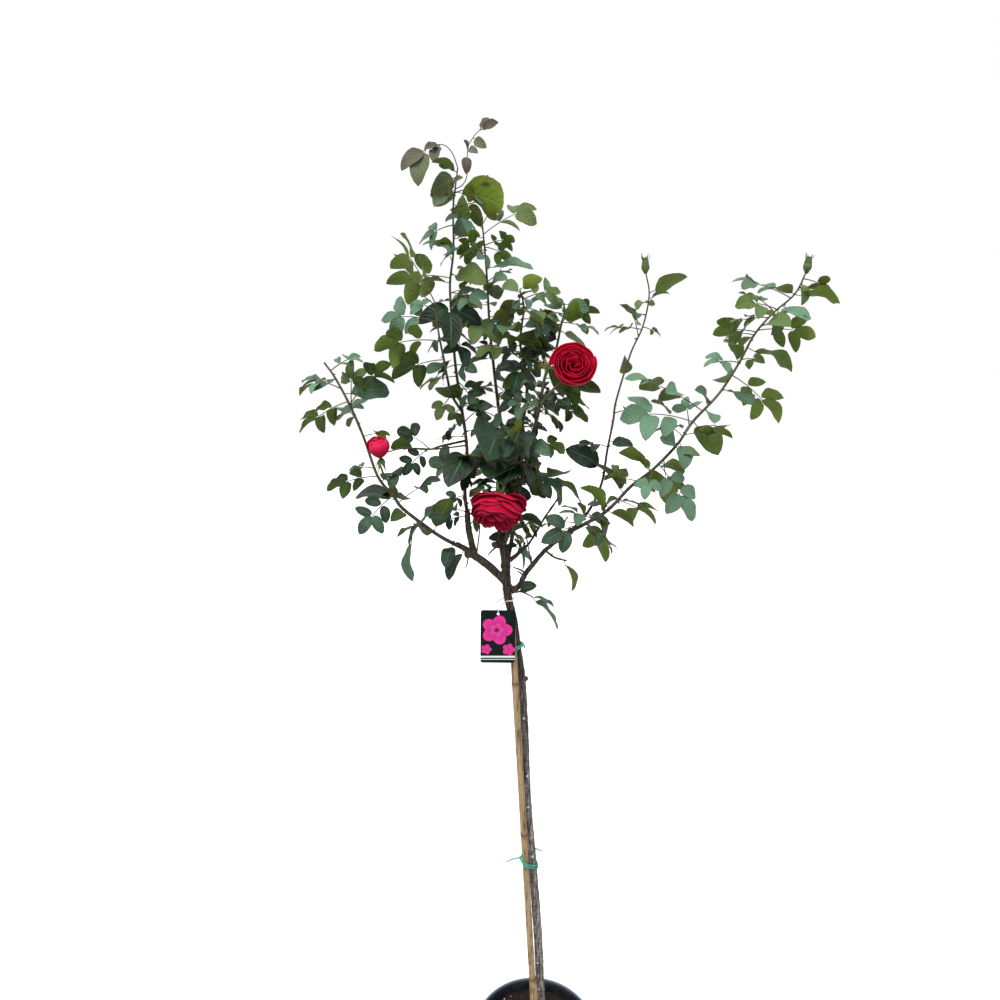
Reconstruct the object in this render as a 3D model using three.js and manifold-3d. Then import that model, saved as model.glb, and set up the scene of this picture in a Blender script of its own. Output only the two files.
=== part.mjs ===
// A standard rose: a rose crown budded on a tall bare stem, tied to a bamboo cane in its nursery pot.
// Millimetres, +Z up. The origin is the middle of the pot's base, and +Y points to the back.

import * as THREE from 'three';
import { mergeVertices } from 'three/addons/utils/BufferGeometryUtils.js';
import Module from 'manifold-3d';

const wasm = await Module();
wasm.setup();

// ---------------------------------------------------------------- driving dimensions

const CLEARANCE = 0.3; // between pieces that touch
const UP = new THREE.Vector3(0, 0, 1);

const POT = {
  height: 258,
  rimRadius: 125.5,
  rimHeight: 14,
  bodyTopRadius: 119,
  baseRadius: 95,
  wall: 3,
  floor: 6,
  channelInner: 46,
  channelOuter: 80,
  channelDepth: 3.5,
  channelSlope: 4,
  lipEdge: 2,
  lipThickness: 5,
  facets: 24,
  drainHoles: 5,
  drainRadius: 6,
};

const SOIL = { top: 236, dome: 4, crumb: 3, seed: 11 };
const HOLE_EXTRA = 1.4; // a hole in the soil is this much wider and deeper than the foot in it
const CUT_PAST = 20; // how far a cutting tool reaches past what it cuts

// The stem leans a little to the left as it rises: [x, y, z, radius].
const STEM = [
  [15, 0, 96, 9.2],
  [14, 0, 236, 9.2],
  [8.5, 0, 370, 8.8],
  [2.5, 0, 494, 8.6],
  [-9.5, 0, 650, 8.3],
  [-20.5, 0, 782, 8],
  [-27, 0, 930, 8],
  [-33, 0, 1028, 8],
  [-41, 0, 1092, 7.8],
  [-49, 0, 1148, 7.8],
  [-57.5, 0, 1186, 7.4],
  [-60.5, 0, 1222, 7.4],
  [-63, 2, 1260, 7.4],
  [-70, 5, 1292, 7.4],
];

const STAKE = {
  foot: [11.4, -17, 60],
  top: [-51, -17, 1146],
  radius: 6.7,
  joints: [388, 713, 1026],
  jointHalf: 5,
  jointSwell: 0.9,
};
const WOOD_SIDES = 9;

const TIE_RADIUS = 1.6;
const TIE_STEPS = 14;
const CORD_SIDES = 4;
const KNOT = { out: 2.4, radius: 3.4, height: 4.2 };
const UPPER_TIE = {
  height: 1101,
  turns: 2,
  pitch: 3.4,
  slope: -0.25,
  slack: 0.9,
  knotOn: 'stem',
  knotAngle: 0.2,
};
const LOWER_TIE = {
  height: 650,
  turns: 2,
  pitch: 5,
  slope: -0.9,
  slack: 2,
  knotOn: 'stake',
  knotAngle: Math.PI,
};

const LABEL = {
  width: 61,
  height: 98,
  thickness: 0.9,
  corner: 5,
  holeRadius: 2.6,
  holeDrop: 7,
  hole: [-75.2, -36, 1169.5],
  turn: 0.012,
};
const LOOP_RADIUS = 1;
const LOOP_HEIGHT = 1183; // where it rings the stem
const LOOP_SLACK = 1.2;
const LOOP_STEPS = 26;

const WOOD_STUB = 16; // length of wood that carries each cane
const COLLAR = 0.8; // that wood is this much thicker than the cane
const ARM_STEP = 24; // between the rings of an arm
const CANE_SIDES = 5;
const CANE_STEP = 38; // between the rings of a cane
const RACHIS_HALF = 0.8; // half the width of a leaf's stalk
const STALK_RISE = 0.14; // how far its middle rises, of its length
const NODE_HALF = 1.3; // half the length of the place where a pair of leaflets joins it
const FOOT_TUCK = 0.6; // how far its foot reaches into the cane
const BLADE_HALF = 0.6; // half the thickness of a leaflet or petal at its middle
const LEAFLET_WIDTH = 0.68; // of a leaflet's length
const BROAD_LEAFLET = 44; // from this length a leaflet has a rounder outline

// Blades turn to the light in front, and above the height of the highest ones that do they lean back.
const FACING = { lean: 1.1, upTo: 1600, leanAbove: -0.8, from: 1690 };

// Where a leaf carries its pairs of leaflets, by number of pairs: the share of the stalk's length at
// each node and the length of a leaflet there. The end leaflet starts at the last node.
const LEAF_PLAN = [
  [],
  [[0.45, 0.45]],
  [[0.28, 0.32], [0.54, 0.38]],
  [[0.24, 0.24], [0.42, 0.29], [0.6, 0.32]],
];

// ---------------------------------------------------------------- solids

// Every small difference from leaf to leaf is a draw from one seeded row of numbers.
function makeDraw(seed) {
  let state = seed;
  return (low, high) => {
    state = (state * 16807) % 2147483647;
    return low + ((high - low) * state) / 2147483647;
  };
}

function toSolid(geometry) {
  geometry.deleteAttribute('normal');
  geometry.deleteAttribute('uv');
  const welded = mergeVertices(geometry, 1e-3);
  const vertProperties = new Float32Array(welded.attributes.position.array);
  const triVerts = new Uint32Array(welded.index.array);
  return new wasm.Manifold(new wasm.Mesh({ numProp: 3, vertProperties, triVerts }));
}

function toGeometry(solid) {
  const mesh = solid.getMesh();
  const geometry = new THREE.BufferGeometry();
  geometry.setAttribute('position', new THREE.BufferAttribute(new Float32Array(mesh.vertProperties), 3));
  geometry.setIndex(new THREE.BufferAttribute(new Uint32Array(mesh.triVerts), 1));
  return geometry;
}

function join(solids) {
  return solids.reduce((whole, solid) => whole.add(solid));
}

function vector(row) {
  return new THREE.Vector3(row[0], row[1], row[2]);
}

function routeThrough(rows) {
  return new THREE.CatmullRomCurve3(rows.map(vector), false, 'catmullrom', 0.5);
}

// Shares of a route's length, from the first to the last in even steps.
function evenShares(from, to, steps) {
  return Array.from({ length: steps + 1 }, (_, step) => Math.min(1, from + ((to - from) * step) / steps));
}

// A cylinder of the given sides, bent along a route with a ring at each share of its length, and with
// a radius that changes on the way.
function bentRod(route, shares, radiusAt, sides) {
  const steps = shares.length - 1;
  const geometry = new THREE.CylinderGeometry(1, 1, 1, sides, steps);
  const place = geometry.attributes.position;
  const stations = [];
  let side = new THREE.Vector3(0, -1, 0);
  for (const along of shares) {
    const tangent = route.getTangentAt(along);
    side = side.clone().addScaledVector(tangent, -side.dot(tangent)).normalize();
    const across = tangent.clone().cross(side);
    stations.push({ centre: route.getPointAt(along), side, across, radius: radiusAt(along) });
  }
  for (let i = 0; i < place.count; i++) {
    const station = stations[Math.round((place.getY(i) + 0.5) * steps)];
    const point = station.centre.clone();
    point.addScaledVector(station.across, place.getX(i) * station.radius);
    point.addScaledVector(station.side, place.getZ(i) * station.radius);
    place.setXYZ(i, point.x, point.y, point.z);
  }
  return toSolid(geometry);
}

function ball(centre, radius, height, turns, rings) {
  const geometry = new THREE.SphereGeometry(radius, turns, rings);
  geometry.scale(1, height / radius, 1);
  geometry.rotateX(Math.PI / 2);
  geometry.translate(centre.x, centre.y, centre.z);
  return toSolid(geometry);
}

function named(name, shape, colour, roughness) {
  const geometry = shape instanceof THREE.BufferGeometry ? shape : toGeometry(shape);
  const material = new THREE.MeshStandardMaterial({ color: colour, roughness, metalness: 0 });
  const mesh = new THREE.Mesh(geometry, material);
  mesh.name = name;
  return mesh;
}

// A thin blade whose two faces share one outline and stand apart at the points inside it.
class Blade {
  constructor() {
    this.points = [];
    this.triangles = [];
  }

  push(point) {
    this.points.push(point.x, point.y, point.z);
    return this.points.length / 3 - 1;
  }

  rim(point) {
    const index = this.push(point);
    return { front: index, back: index };
  }

  inner(point, normal, half) {
    const front = this.push(point.clone().addScaledVector(normal, half));
    const back = this.push(point.clone().addScaledVector(normal, -half));
    return { front, back };
  }

  face(a, b, c) {
    this.triangles.push(a.front, b.front, c.front, a.back, c.back, b.back);
  }

  solid() {
    const vertProperties = new Float32Array(this.points);
    const triVerts = new Uint32Array(this.triangles);
    return new wasm.Manifold(new wasm.Mesh({ numProp: 3, vertProperties, triVerts }));
  }
}

// ---------------------------------------------------------------- pot and soil

// The pot stands on its flat middle and its edge, with a raised ring between them that holds the drain
// holes. The wall rises to a turned-over rim, and the profile closes on the axis.
function potSolid() {
  const lipFoot = POT.height - POT.rimHeight;
  const profile = [
    [0, 0],
    [POT.channelInner, 0],
    [POT.channelInner + POT.channelSlope, POT.channelDepth],
    [POT.channelOuter - POT.channelSlope, POT.channelDepth],
    [POT.channelOuter, 0],
    [POT.baseRadius, 0],
    [POT.bodyTopRadius, lipFoot],
    [POT.rimRadius, lipFoot],
    [POT.rimRadius, POT.height - POT.lipEdge],
    [POT.rimRadius - POT.lipEdge, POT.height],
    [POT.rimRadius - POT.lipThickness, POT.height - POT.lipEdge / 2],
    [POT.bodyTopRadius - POT.wall, lipFoot - POT.lipEdge],
    [POT.baseRadius - POT.wall, POT.floor],
    [0, POT.floor],
  ];
  const outline = profile.map(([radius, height]) => new THREE.Vector2(radius, height));
  const shell = new THREE.LatheGeometry(outline, POT.facets);
  shell.rotateX(Math.PI / 2);
  const drainRing = (POT.channelInner + POT.channelOuter) / 2;
  let solid = toSolid(shell);
  for (let hole = 0; hole < POT.drainHoles; hole++) {
    const angle = (hole * 2 * Math.PI) / POT.drainHoles;
    const drill = new THREE.CylinderGeometry(POT.drainRadius, POT.drainRadius, 2 * CUT_PAST, 8);
    drill.rotateX(Math.PI / 2);
    drill.translate(Math.cos(angle) * drainRing, Math.sin(angle) * drainRing, 0);
    solid = solid.subtract(toSolid(drill));
  }
  return solid;
}

function innerPotRadius(height) {
  const lipFoot = POT.height - POT.rimHeight - POT.lipEdge;
  const share = (height - POT.floor) / (lipFoot - POT.floor);
  return THREE.MathUtils.lerp(POT.baseRadius, POT.bodyTopRadius, share) - POT.wall;
}

// A round hole along a stem's own line, from just under its foot out through the soil's top.
function plainHole(foot, above, radius) {
  const start = vector(foot);
  const line = vector(above).sub(start).normalize();
  start.addScaledVector(line, -HOLE_EXTRA);
  const end = start.clone().addScaledVector(line, (SOIL.top + CUT_PAST - start.z) / line.z);
  return bentRod(new THREE.LineCurve3(start, end), [0, 1], () => radius, 10);
}

// Potting soil fills the pot to just under the rim, with a lumpy top and a plain hole for each stem.
function soilSolid() {
  const floor = POT.floor + CLEARANCE;
  const edgeTop = innerPotRadius(SOIL.top) - CLEARANCE * 2;
  const outline = [
    [0, floor],
    [innerPotRadius(floor) - CLEARANCE * 2, floor],
    [edgeTop, SOIL.top],
    [edgeTop * 0.8, SOIL.top + 1],
    [edgeTop * 0.52, SOIL.top + 2],
    [edgeTop * 0.25, SOIL.top + SOIL.dome],
    [0, SOIL.top + SOIL.dome],
  ].map(([radius, height]) => new THREE.Vector2(radius, height));
  const fill = new THREE.LatheGeometry(outline, POT.facets / 2);
  fill.rotateX(Math.PI / 2);
  fill.deleteAttribute('normal');
  fill.deleteAttribute('uv');
  const welded = mergeVertices(fill, 1e-3);
  const place = welded.attributes.position;
  const draw = makeDraw(SOIL.seed);
  for (let i = 0; i < place.count; i++) {
    if (place.getZ(i) > SOIL.top + 0.5) {
      place.setZ(i, place.getZ(i) + draw(-SOIL.crumb, SOIL.crumb));
    }
  }
  const stemHole = plainHole(STEM[0], STEM[1], STEM[0][3] + HOLE_EXTRA);
  const stakeHole = plainHole(STAKE.foot, STAKE.top, STAKE.radius + HOLE_EXTRA);
  return toSolid(welded).subtract(stemHole).subtract(stakeHole);
}

// ---------------------------------------------------------------- stem, stake and ties

const stemRoute = routeThrough(STEM);
const stakeRoute = new THREE.LineCurve3(vector(STAKE.foot), vector(STAKE.top));

function stemRadius(along) {
  const height = stemRoute.getPointAt(along).z;
  const above = STEM.findIndex((row) => row[2] > height);
  if (above < 1) return above === 0 ? STEM[0][3] : STEM[STEM.length - 1][3];
  const low = STEM[above - 1];
  const high = STEM[above];
  return THREE.MathUtils.mapLinear(height, low[2], high[2], low[3], high[3]);
}

// A bamboo cane: each joint is a low ring round it.
function stakeSolid() {
  const rise = STAKE.top[2] - STAKE.foot[2];
  const cuts = [0, 1];
  for (const joint of STAKE.joints) {
    const middle = (joint - STAKE.foot[2]) / rise;
    cuts.push(middle - STAKE.jointHalf / rise, middle, middle + STAKE.jointHalf / rise);
  }
  cuts.sort((a, b) => a - b);
  const geometry = new THREE.CylinderGeometry(1, 1, 1, WOOD_SIDES, cuts.length - 1);
  const place = geometry.attributes.position;
  for (let i = 0; i < place.count; i++) {
    const step = Math.round((place.getY(i) + 0.5) * (cuts.length - 1));
    const swollen = step % 3 === 2;
    const radius = STAKE.radius + (swollen ? STAKE.jointSwell : 0);
    const centre = stakeRoute.getPoint(cuts[step]);
    place.setXYZ(i, centre.x + place.getX(i) * radius, centre.y - place.getZ(i) * radius, centre.z);
  }
  return toSolid(geometry);
}

function stakeCentreAt(height) {
  const share = (height - STAKE.foot[2]) / (STAKE.top[2] - STAKE.foot[2]);
  return stakeRoute.getPoint(share);
}

function stemCentreAt(height) {
  let along = 0;
  while (along < 1 && stemRoute.getPointAt(along).z < height) {
    along += 0.002;
  }
  return { centre: stemRoute.getPointAt(Math.min(along, 1)), radius: stemRadius(Math.min(along, 1)) };
}

// One closed turn of plastic tie, drawn round the stem and the stake together.
function tieTurn(height, { slope, slack }) {
  const stem = stemCentreAt(height);
  const stake = stakeCentreAt(height);
  const toStem = Math.atan2(stem.centre.y - stake.y, stem.centre.x - stake.x);
  const gap = CLEARANCE + TIE_RADIUS + slack;
  const points = [];
  for (const turn of [-0.5, -0.25, 0, 0.25, 0.5]) {
    const angle = toStem + turn * Math.PI;
    const reach = stem.radius + gap;
    points.push([stem.centre.x + Math.cos(angle) * reach, stem.centre.y + Math.sin(angle) * reach]);
  }
  for (const turn of [-0.5, -0.25, 0, 0.25, 0.5]) {
    const angle = toStem + Math.PI + turn * Math.PI;
    const reach = STAKE.radius + gap;
    points.push([stake.x + Math.cos(angle) * reach, stake.y + Math.sin(angle) * reach]);
  }
  const middle = (stem.centre.x + stake.x) / 2;
  const rows = points.map(([x, y]) => new THREE.Vector3(x, y, height + slope * (x - middle)));
  const path = new THREE.CatmullRomCurve3(rows, true);
  return toSolid(new THREE.TubeGeometry(path, TIE_STEPS, TIE_RADIUS, CORD_SIDES, true));
}

// The turns lie one above the other, and a knot at the stem's side holds them, with its loose ends.
function tieSolid(tie, ends) {
  const pieces = [];
  for (let turn = 0; turn < tie.turns; turn++) {
    pieces.push(tieTurn(tie.height + (turn - (tie.turns - 1) / 2) * tie.pitch, tie));
  }
  const stem = stemCentreAt(tie.height);
  const stake = stakeCentreAt(tie.height);
  const held = tie.knotOn === 'stake' ? { centre: stake, radius: STAKE.radius } : stem;
  const out = held.radius + TIE_RADIUS + KNOT.out;
  const knot = held.centre.clone();
  knot.x += Math.cos(tie.knotAngle) * out;
  knot.y += Math.sin(tie.knotAngle) * out;
  knot.z = tie.height + tie.slope * (knot.x - (stem.centre.x + stake.x) / 2);
  pieces.push(ball(knot, KNOT.radius, KNOT.height, 6, 4));
  for (const end of ends) {
    const route = new THREE.CatmullRomCurve3([knot, ...end.map((row) => vector(row).add(knot))]);
    pieces.push(bentRod(route, evenShares(0, 1, end.length), () => TIE_RADIUS * 0.9, CORD_SIDES));
  }
  return join(pieces);
}

// ---------------------------------------------------------------- label and its loop

function labelSolid() {
  const half = LABEL.width / 2;
  const top = LABEL.holeDrop;
  const bottom = top - LABEL.height;
  const sheet = new THREE.Shape();
  sheet.moveTo(-half + LABEL.corner, bottom);
  sheet.lineTo(half - LABEL.corner, bottom);
  sheet.quadraticCurveTo(half, bottom, half, bottom + LABEL.corner);
  sheet.lineTo(half, top - LABEL.corner);
  sheet.quadraticCurveTo(half, top, half - LABEL.corner, top);
  sheet.lineTo(-half + LABEL.corner, top);
  sheet.quadraticCurveTo(-half, top, -half, top - LABEL.corner);
  sheet.lineTo(-half, bottom + LABEL.corner);
  sheet.quadraticCurveTo(-half, bottom, -half + LABEL.corner, bottom);
  const hole = new THREE.Path();
  hole.absarc(0, 0, LABEL.holeRadius, 0, Math.PI * 2, true);
  sheet.holes.push(hole);
  const settings = { depth: LABEL.thickness, bevelEnabled: false, curveSegments: 4 };
  const geometry = new THREE.ExtrudeGeometry(sheet, settings);
  geometry.translate(0, 0, -LABEL.thickness / 2);
  geometry.rotateX(Math.PI / 2);
  geometry.rotateY(LABEL.turn);
  geometry.translate(...LABEL.hole);
  return toSolid(geometry);
}

// The thin plastic strap runs through the label's hole and round the back of the stem.
function loopSolid() {
  const stem = stemCentreAt(LOOP_HEIGHT);
  const reach = stem.radius + LOOP_RADIUS + LOOP_SLACK;
  const around = (angle, rise) => [
    stem.centre.x + Math.cos(angle) * reach,
    stem.centre.y + Math.sin(angle) * reach,
    stem.centre.z + rise,
  ];
  const [x, y, z] = LABEL.hole;
  const rows = [
    [x, y - 2.4, z + 1.5],
    [x + 2, y - 1.5, z + 14],
    around(-0.62 * Math.PI, 0),
    around(-0.3 * Math.PI, 0.5),
    around(0, 1),
    around(0.3 * Math.PI, 1.5),
    around(0.6 * Math.PI, 1.5),
    around(0.9 * Math.PI, 1.5),
    [x - 4, y + 14, z + 15],
    [x - 2, y + 6, z + 8],
    [x, y + 2, z + 0.4],
    [x, y, z - 0.4],
  ];
  const path = new THREE.CatmullRomCurve3(rows.map(vector), true);
  return toSolid(new THREE.TubeGeometry(path, LOOP_STEPS, LOOP_RADIUS, CORD_SIDES, true));
}

// ---------------------------------------------------------------- leaves

// The upper face of a leaf looks up and to the side that it leans to.
function faceNormal(direction, lean, roll) {
  const normal = new THREE.Vector3(0, -lean, 1);
  normal.addScaledVector(direction, -normal.dot(direction)).normalize();
  return normal.applyAxisAngle(direction, roll);
}

// One oval leaflet, folded up a little on either side of its midrib and bent down to its tip.
function addLeaflet(blade, corners, start, direction, normal, length, tip, draw) {
  const right = direction.clone().cross(normal).normalize();
  const half = (length * LEAFLET_WIDTH) / 2;
  const broad = length > BROAD_LEAFLET;
  const fold = draw(0.1, 0.3);
  const droop = draw(0.1, 0.24);
  const at = (share, reach) => {
    const point = start.clone().addScaledVector(direction, share * length);
    const sink = tip ? 0 : droop * share * share * length;
    point.addScaledVector(right, reach * half);
    return point.addScaledVector(normal, Math.abs(reach) * half * fold - sink);
  };
  const root = corners.root;
  const rib = blade.inner(at(0.55, 0), normal, BLADE_HALF);
  const end = blade.rim(at(1, 0));
  for (const side of [1, -1]) {
    const corner = side > 0 ? corners.right : corners.left;
    const low = blade.rim(at(broad ? 0.32 : 0.42, side));
    const ring = [[root, corner, low], [root, low, rib]];
    if (broad) {
      const high = blade.rim(at(0.72, side * 0.82));
      ring.push([rib, low, high], [rib, high, end]);
    } else {
      ring.push([rib, low, end]);
    }
    for (const [a, b, c] of ring) {
      if (side > 0) blade.face(a, b, c);
      else blade.face(a, c, b);
    }
  }
}

// A whole leaf: a stalk that rises from the cane and bows over, pairs of leaflets and one at its end.
function leafSolid(base, reach, pairCount, draw) {
  const length = reach.length();
  const middle = base.clone().addScaledVector(reach, 0.5).addScaledVector(UP, length * STALK_RISE);
  const tip = base.clone().add(reach);
  const stalk = new THREE.QuadraticBezierCurve3(base, middle, tip);
  const above = THREE.MathUtils.smoothstep(tip.z, FACING.upTo, FACING.from);
  const lean = THREE.MathUtils.lerp(FACING.lean, FACING.leanAbove, above);
  const roll = draw(-0.35, 0.35);
  const blade = new Blade();
  const station = (share) => {
    const point = stalk.getPoint(share);
    const direction = stalk.getTangent(share);
    const normal = faceNormal(direction, lean, roll);
    const right = direction.clone().cross(normal);
    return { point, direction, normal, right };
  };
  const edge = (place, side, ahead) => {
    const point = place.point.clone().addScaledVector(place.right, side * RACHIS_HALF);
    return blade.rim(point.addScaledVector(place.direction, ahead));
  };
  const foot = station(0);
  let below = blade.inner(foot.point, foot.normal, RACHIS_HALF);
  let right = edge(foot, 1, -FOOT_TUCK);
  let left = edge(foot, -1, -FOOT_TUCK);
  blade.face(below, left, right);
  let place = foot;
  for (const [share, size] of LEAF_PLAN[pairCount]) {
    place = station(share);
    const root = blade.inner(place.point, place.normal, RACHIS_HALF);
    const lowRight = edge(place, 1, -NODE_HALF);
    const lowLeft = edge(place, -1, -NODE_HALF);
    blade.face(below, right, lowRight);
    blade.face(below, lowRight, root);
    blade.face(below, lowLeft, left);
    blade.face(below, root, lowLeft);
    below = root;
    right = edge(place, 1, NODE_HALF);
    left = edge(place, -1, NODE_HALF);
    const spread = draw(0.85, 1.1);
    for (const side of [1, -1]) {
      const direction = place.direction.clone().applyAxisAngle(place.normal, -side * spread);
      const corners = { root, right: side > 0 ? lowRight : left, left: side > 0 ? right : lowLeft };
      const span = size * length * draw(0.9, 1.08);
      addLeaflet(blade, corners, place.point, direction, place.normal, span, false, draw);
    }
  }
  const toTip = tip.clone().sub(place.point);
  const span = toTip.length();
  toTip.normalize();
  const corners = { root: below, right, left };
  addLeaflet(blade, corners, place.point, toTip, faceNormal(toTip, lean, roll), span, true, draw);
  return blade.solid();
}

// ---------------------------------------------------------------- flowers

// One petal: part of a bowl round the flower's axis, with its left edge tucked under its neighbour's.
function petalSolid(frame, turn, petal, draw) {
  const blade = new Blade();
  const columns = [-1, -0.38, 0.38, 1];
  const rows = petal.profile.map(([radius, height], row) => {
    const width = [0.5, 1, 0.8][row];
    return columns.map((column, index) => {
      const angle = turn + column * petal.halfAngle * width;
      const tuck = row === 0 ? 0 : column * petal.tuck;
      const outer = Math.abs(column) === 1;
      const sag = row === 2 && outer ? petal.round : 0;
      const wave = row === 2 && !outer ? draw(-0.6, 0.6) : 0;
      const around = new THREE.Vector3(Math.cos(angle), Math.sin(angle), 0);
      const point = around.clone().multiplyScalar(radius + tuck + wave);
      point.z = height - sag;
      const normal = new THREE.Vector3(-around.x, -around.y, 0.6).normalize();
      const placed = point.applyQuaternion(frame.turn).add(frame.centre);
      if (row === 1 && (index === 1 || index === 2)) {
        return blade.inner(placed, normal.applyQuaternion(frame.turn), BLADE_HALF);
      }
      return blade.rim(placed);
    });
  });
  const [low, mid, high] = rows;
  blade.face(low[0], mid[1], low[1]);
  blade.face(low[0], mid[0], mid[1]);
  blade.face(low[1], mid[1], mid[2]);
  blade.face(low[1], mid[2], low[2]);
  blade.face(low[2], mid[2], low[3]);
  blade.face(low[3], mid[2], mid[3]);
  blade.face(mid[0], high[0], mid[1]);
  blade.face(high[0], high[1], mid[1]);
  blade.face(mid[1], high[1], mid[2]);
  blade.face(high[1], high[2], mid[2]);
  blade.face(mid[2], high[2], high[3]);
  blade.face(mid[2], high[3], mid[3]);
  return blade.solid();
}

// A double bloom: rings of petals, each ring narrower and steeper than the one outside it.
function bloomSolid(bloom) {
  const frame = bloomFrame(bloom);
  const draw = makeDraw(bloom.seed);
  const { radius } = bloom;
  const heartHeight = radius * bloom.heart;
  const heart = new THREE.CylinderGeometry(radius * 0.12, radius * 0.22, heartHeight, 6);
  heart.rotateX(Math.PI / 2);
  heart.translate(0, 0, heartHeight / 2 + CLEARANCE);
  heart.applyQuaternion(frame.turn);
  heart.translate(frame.centre.x, frame.centre.y, frame.centre.z);
  let solid = toSolid(heart);
  bloom.rings.forEach((ring, index) => {
    for (let i = 0; i < ring.petals; i++) {
      const turn = (i * 2 * Math.PI) / ring.petals + index * 0.7 + draw(-0.08, 0.08);
      const profile = ring.profile.map(([r, h]) => [r * radius, h * radius + CLEARANCE]);
      const halfAngle = (Math.PI / ring.petals) * 1.12;
      const petal = { profile, halfAngle, tuck: radius * 0.045, round: radius * 0.1 };
      solid = solid.add(petalSolid(frame, turn, petal, draw));
    }
  });
  return solid;
}

function bloomFrame(bloom) {
  const axis = vector(bloom.axis).normalize();
  const turn = new THREE.Quaternion().setFromUnitVectors(UP, axis);
  return { centre: vector(bloom.base), turn };
}

// The green hip under a flower, with five sepals spread out or laid back.
function calyxSolid(bloom) {
  const frame = bloomFrame(bloom);
  const pieces = [];
  const hip = new THREE.CylinderGeometry(bloom.hip * 0.9, bloom.hip * 0.45, bloom.hip * 2.2, 8, 2);
  hip.rotateX(Math.PI / 2);
  hip.translate(0, 0, -bloom.hip * 1.1);
  hip.applyQuaternion(frame.turn);
  hip.translate(frame.centre.x, frame.centre.y, frame.centre.z);
  pieces.push(toSolid(hip));
  for (let i = 0; i < 5; i++) {
    const turn = (i * 2 * Math.PI) / 5 + 0.3;
    const around = new THREE.Vector3(Math.cos(turn), Math.sin(turn), 0);
    const across = new THREE.Vector3(-around.y, around.x, 0);
    pieces.push(sepalSolid(frame, around, across, bloom));
  }
  return join(pieces);
}

function sepalSolid(frame, around, across, bloom) {
  const blade = new Blade();
  const at = (share, side) => {
    const reach = bloom.hip * 0.5 + bloom.sepal * share * Math.cos(bloom.sepalLift);
    const rise = -bloom.hip * 0.5 + bloom.sepal * share * Math.sin(bloom.sepalLift);
    const point = around.clone().multiplyScalar(reach).addScaledVector(across, side * bloom.sepal * 0.17);
    point.z = rise;
    return point.applyQuaternion(frame.turn).add(frame.centre);
  };
  const normal = around.clone().multiplyScalar(-Math.sin(bloom.sepalLift));
  normal.z = Math.cos(bloom.sepalLift);
  normal.applyQuaternion(frame.turn);
  const rib = blade.inner(at(0.45, 0), normal, BLADE_HALF);
  const tip = blade.rim(at(1, 0));
  const foot = [blade.rim(at(0, -0.6)), blade.rim(at(0, 0.6))];
  const belly = [blade.rim(at(0.4, -1)), blade.rim(at(0.4, 1))];
  blade.face(foot[0], rib, foot[1]);
  blade.face(foot[0], belly[0], rib);
  blade.face(belly[0], tip, rib);
  blade.face(foot[1], rib, belly[1]);
  blade.face(belly[1], rib, tip);
  return blade.solid();
}

// A closed bud: a green egg on its hip, with the five points of the sepals standing at its tip.
function budSolid(bud) {
  const frame = bloomFrame(bud);
  const outline = BUD_OUTLINE.map(([radius, height]) => new THREE.Vector2(radius, height));
  const egg = new THREE.LatheGeometry(outline, 7);
  egg.rotateX(Math.PI / 2);
  const parts = [egg];
  for (let i = 0; i < 5; i++) {
    const point = new THREE.CylinderGeometry(0.3, BUD_POINT.foot, BUD_POINT.length, 3);
    point.rotateX(Math.PI / 2);
    point.translate(0, 0, 6);
    point.rotateY(BUD_POINT.spread);
    point.translate(2, 0, BUD_POINT.height);
    point.rotateZ((i * 2 * Math.PI) / 5);
    parts.push(point);
  }
  const solids = parts.map((part) => {
    part.applyQuaternion(frame.turn);
    part.translate(frame.centre.x, frame.centre.y, frame.centre.z);
    return toSolid(part);
  });
  return join(solids);
}

// Flowers: where the petals meet the calyx, which way they look, and their rings from outside in.
const OPEN_RINGS = [
  { petals: 5, profile: [[0.12, 0.05], [0.78, 0.2], [1, 0.44]] },
  { petals: 5, profile: [[0.11, 0.1], [0.66, 0.34], [0.82, 0.64]] },
  { petals: 4, profile: [[0.1, 0.15], [0.5, 0.4], [0.6, 0.74]] },
  { petals: 3, profile: [[0.08, 0.2], [0.34, 0.45], [0.38, 0.78]] },
];
const CLOSED_RINGS = [
  { petals: 5, profile: [[0.12, 0.08], [0.98, 0.6], [0.9, 1.25]] },
  { petals: 4, profile: [[0.1, 0.16], [0.7, 0.7], [0.56, 1.42]] },
  { petals: 2, profile: [[0.08, 0.3], [0.4, 0.8], [0.26, 1.46]] },
];
const BLOOMS = {
  bloom_big: {
    base: [46, -48, 1592],
    axis: [0.02, -0.93, 0.36],
    radius: 38,
    heart: 0.62,
    hip: 5.5,
    sepal: 20,
    sepalLift: -0.25,
    rings: OPEN_RINGS,
    seed: 21,
  },
  bloom_front: {
    base: [-77, -64, 1382],
    axis: [-0.02, -0.8, -0.6],
    radius: 44,
    heart: 0.62,
    hip: 6,
    sepal: 20,
    sepalLift: -0.5,
    rings: OPEN_RINGS,
    seed: 37,
  },
  bloom_small: {
    base: [-263, -108, 1455],
    axis: [-0.1, -0.35, 0.93],
    radius: 17,
    heart: 0.8,
    hip: 4.5,
    sepal: 20,
    sepalLift: -1,
    rings: CLOSED_RINGS,
    seed: 51,
  },
};
const BUD_OUTLINE = [[0, -7], [3, -4], [5.8, 5], [6, 11], [3.4, 18], [0, 22]];
const BUD_POINT = { foot: 1.3, length: 13, spread: 0.32, height: 13 };
const BUDS = {
  left: { base: [175, 50, 1755], axis: [-0.06, 0, 1] },
  right: { base: [431, 5, 1751], axis: [0.08, 0, 1] },
};

// ---------------------------------------------------------------- wood and leafy stems

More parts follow.
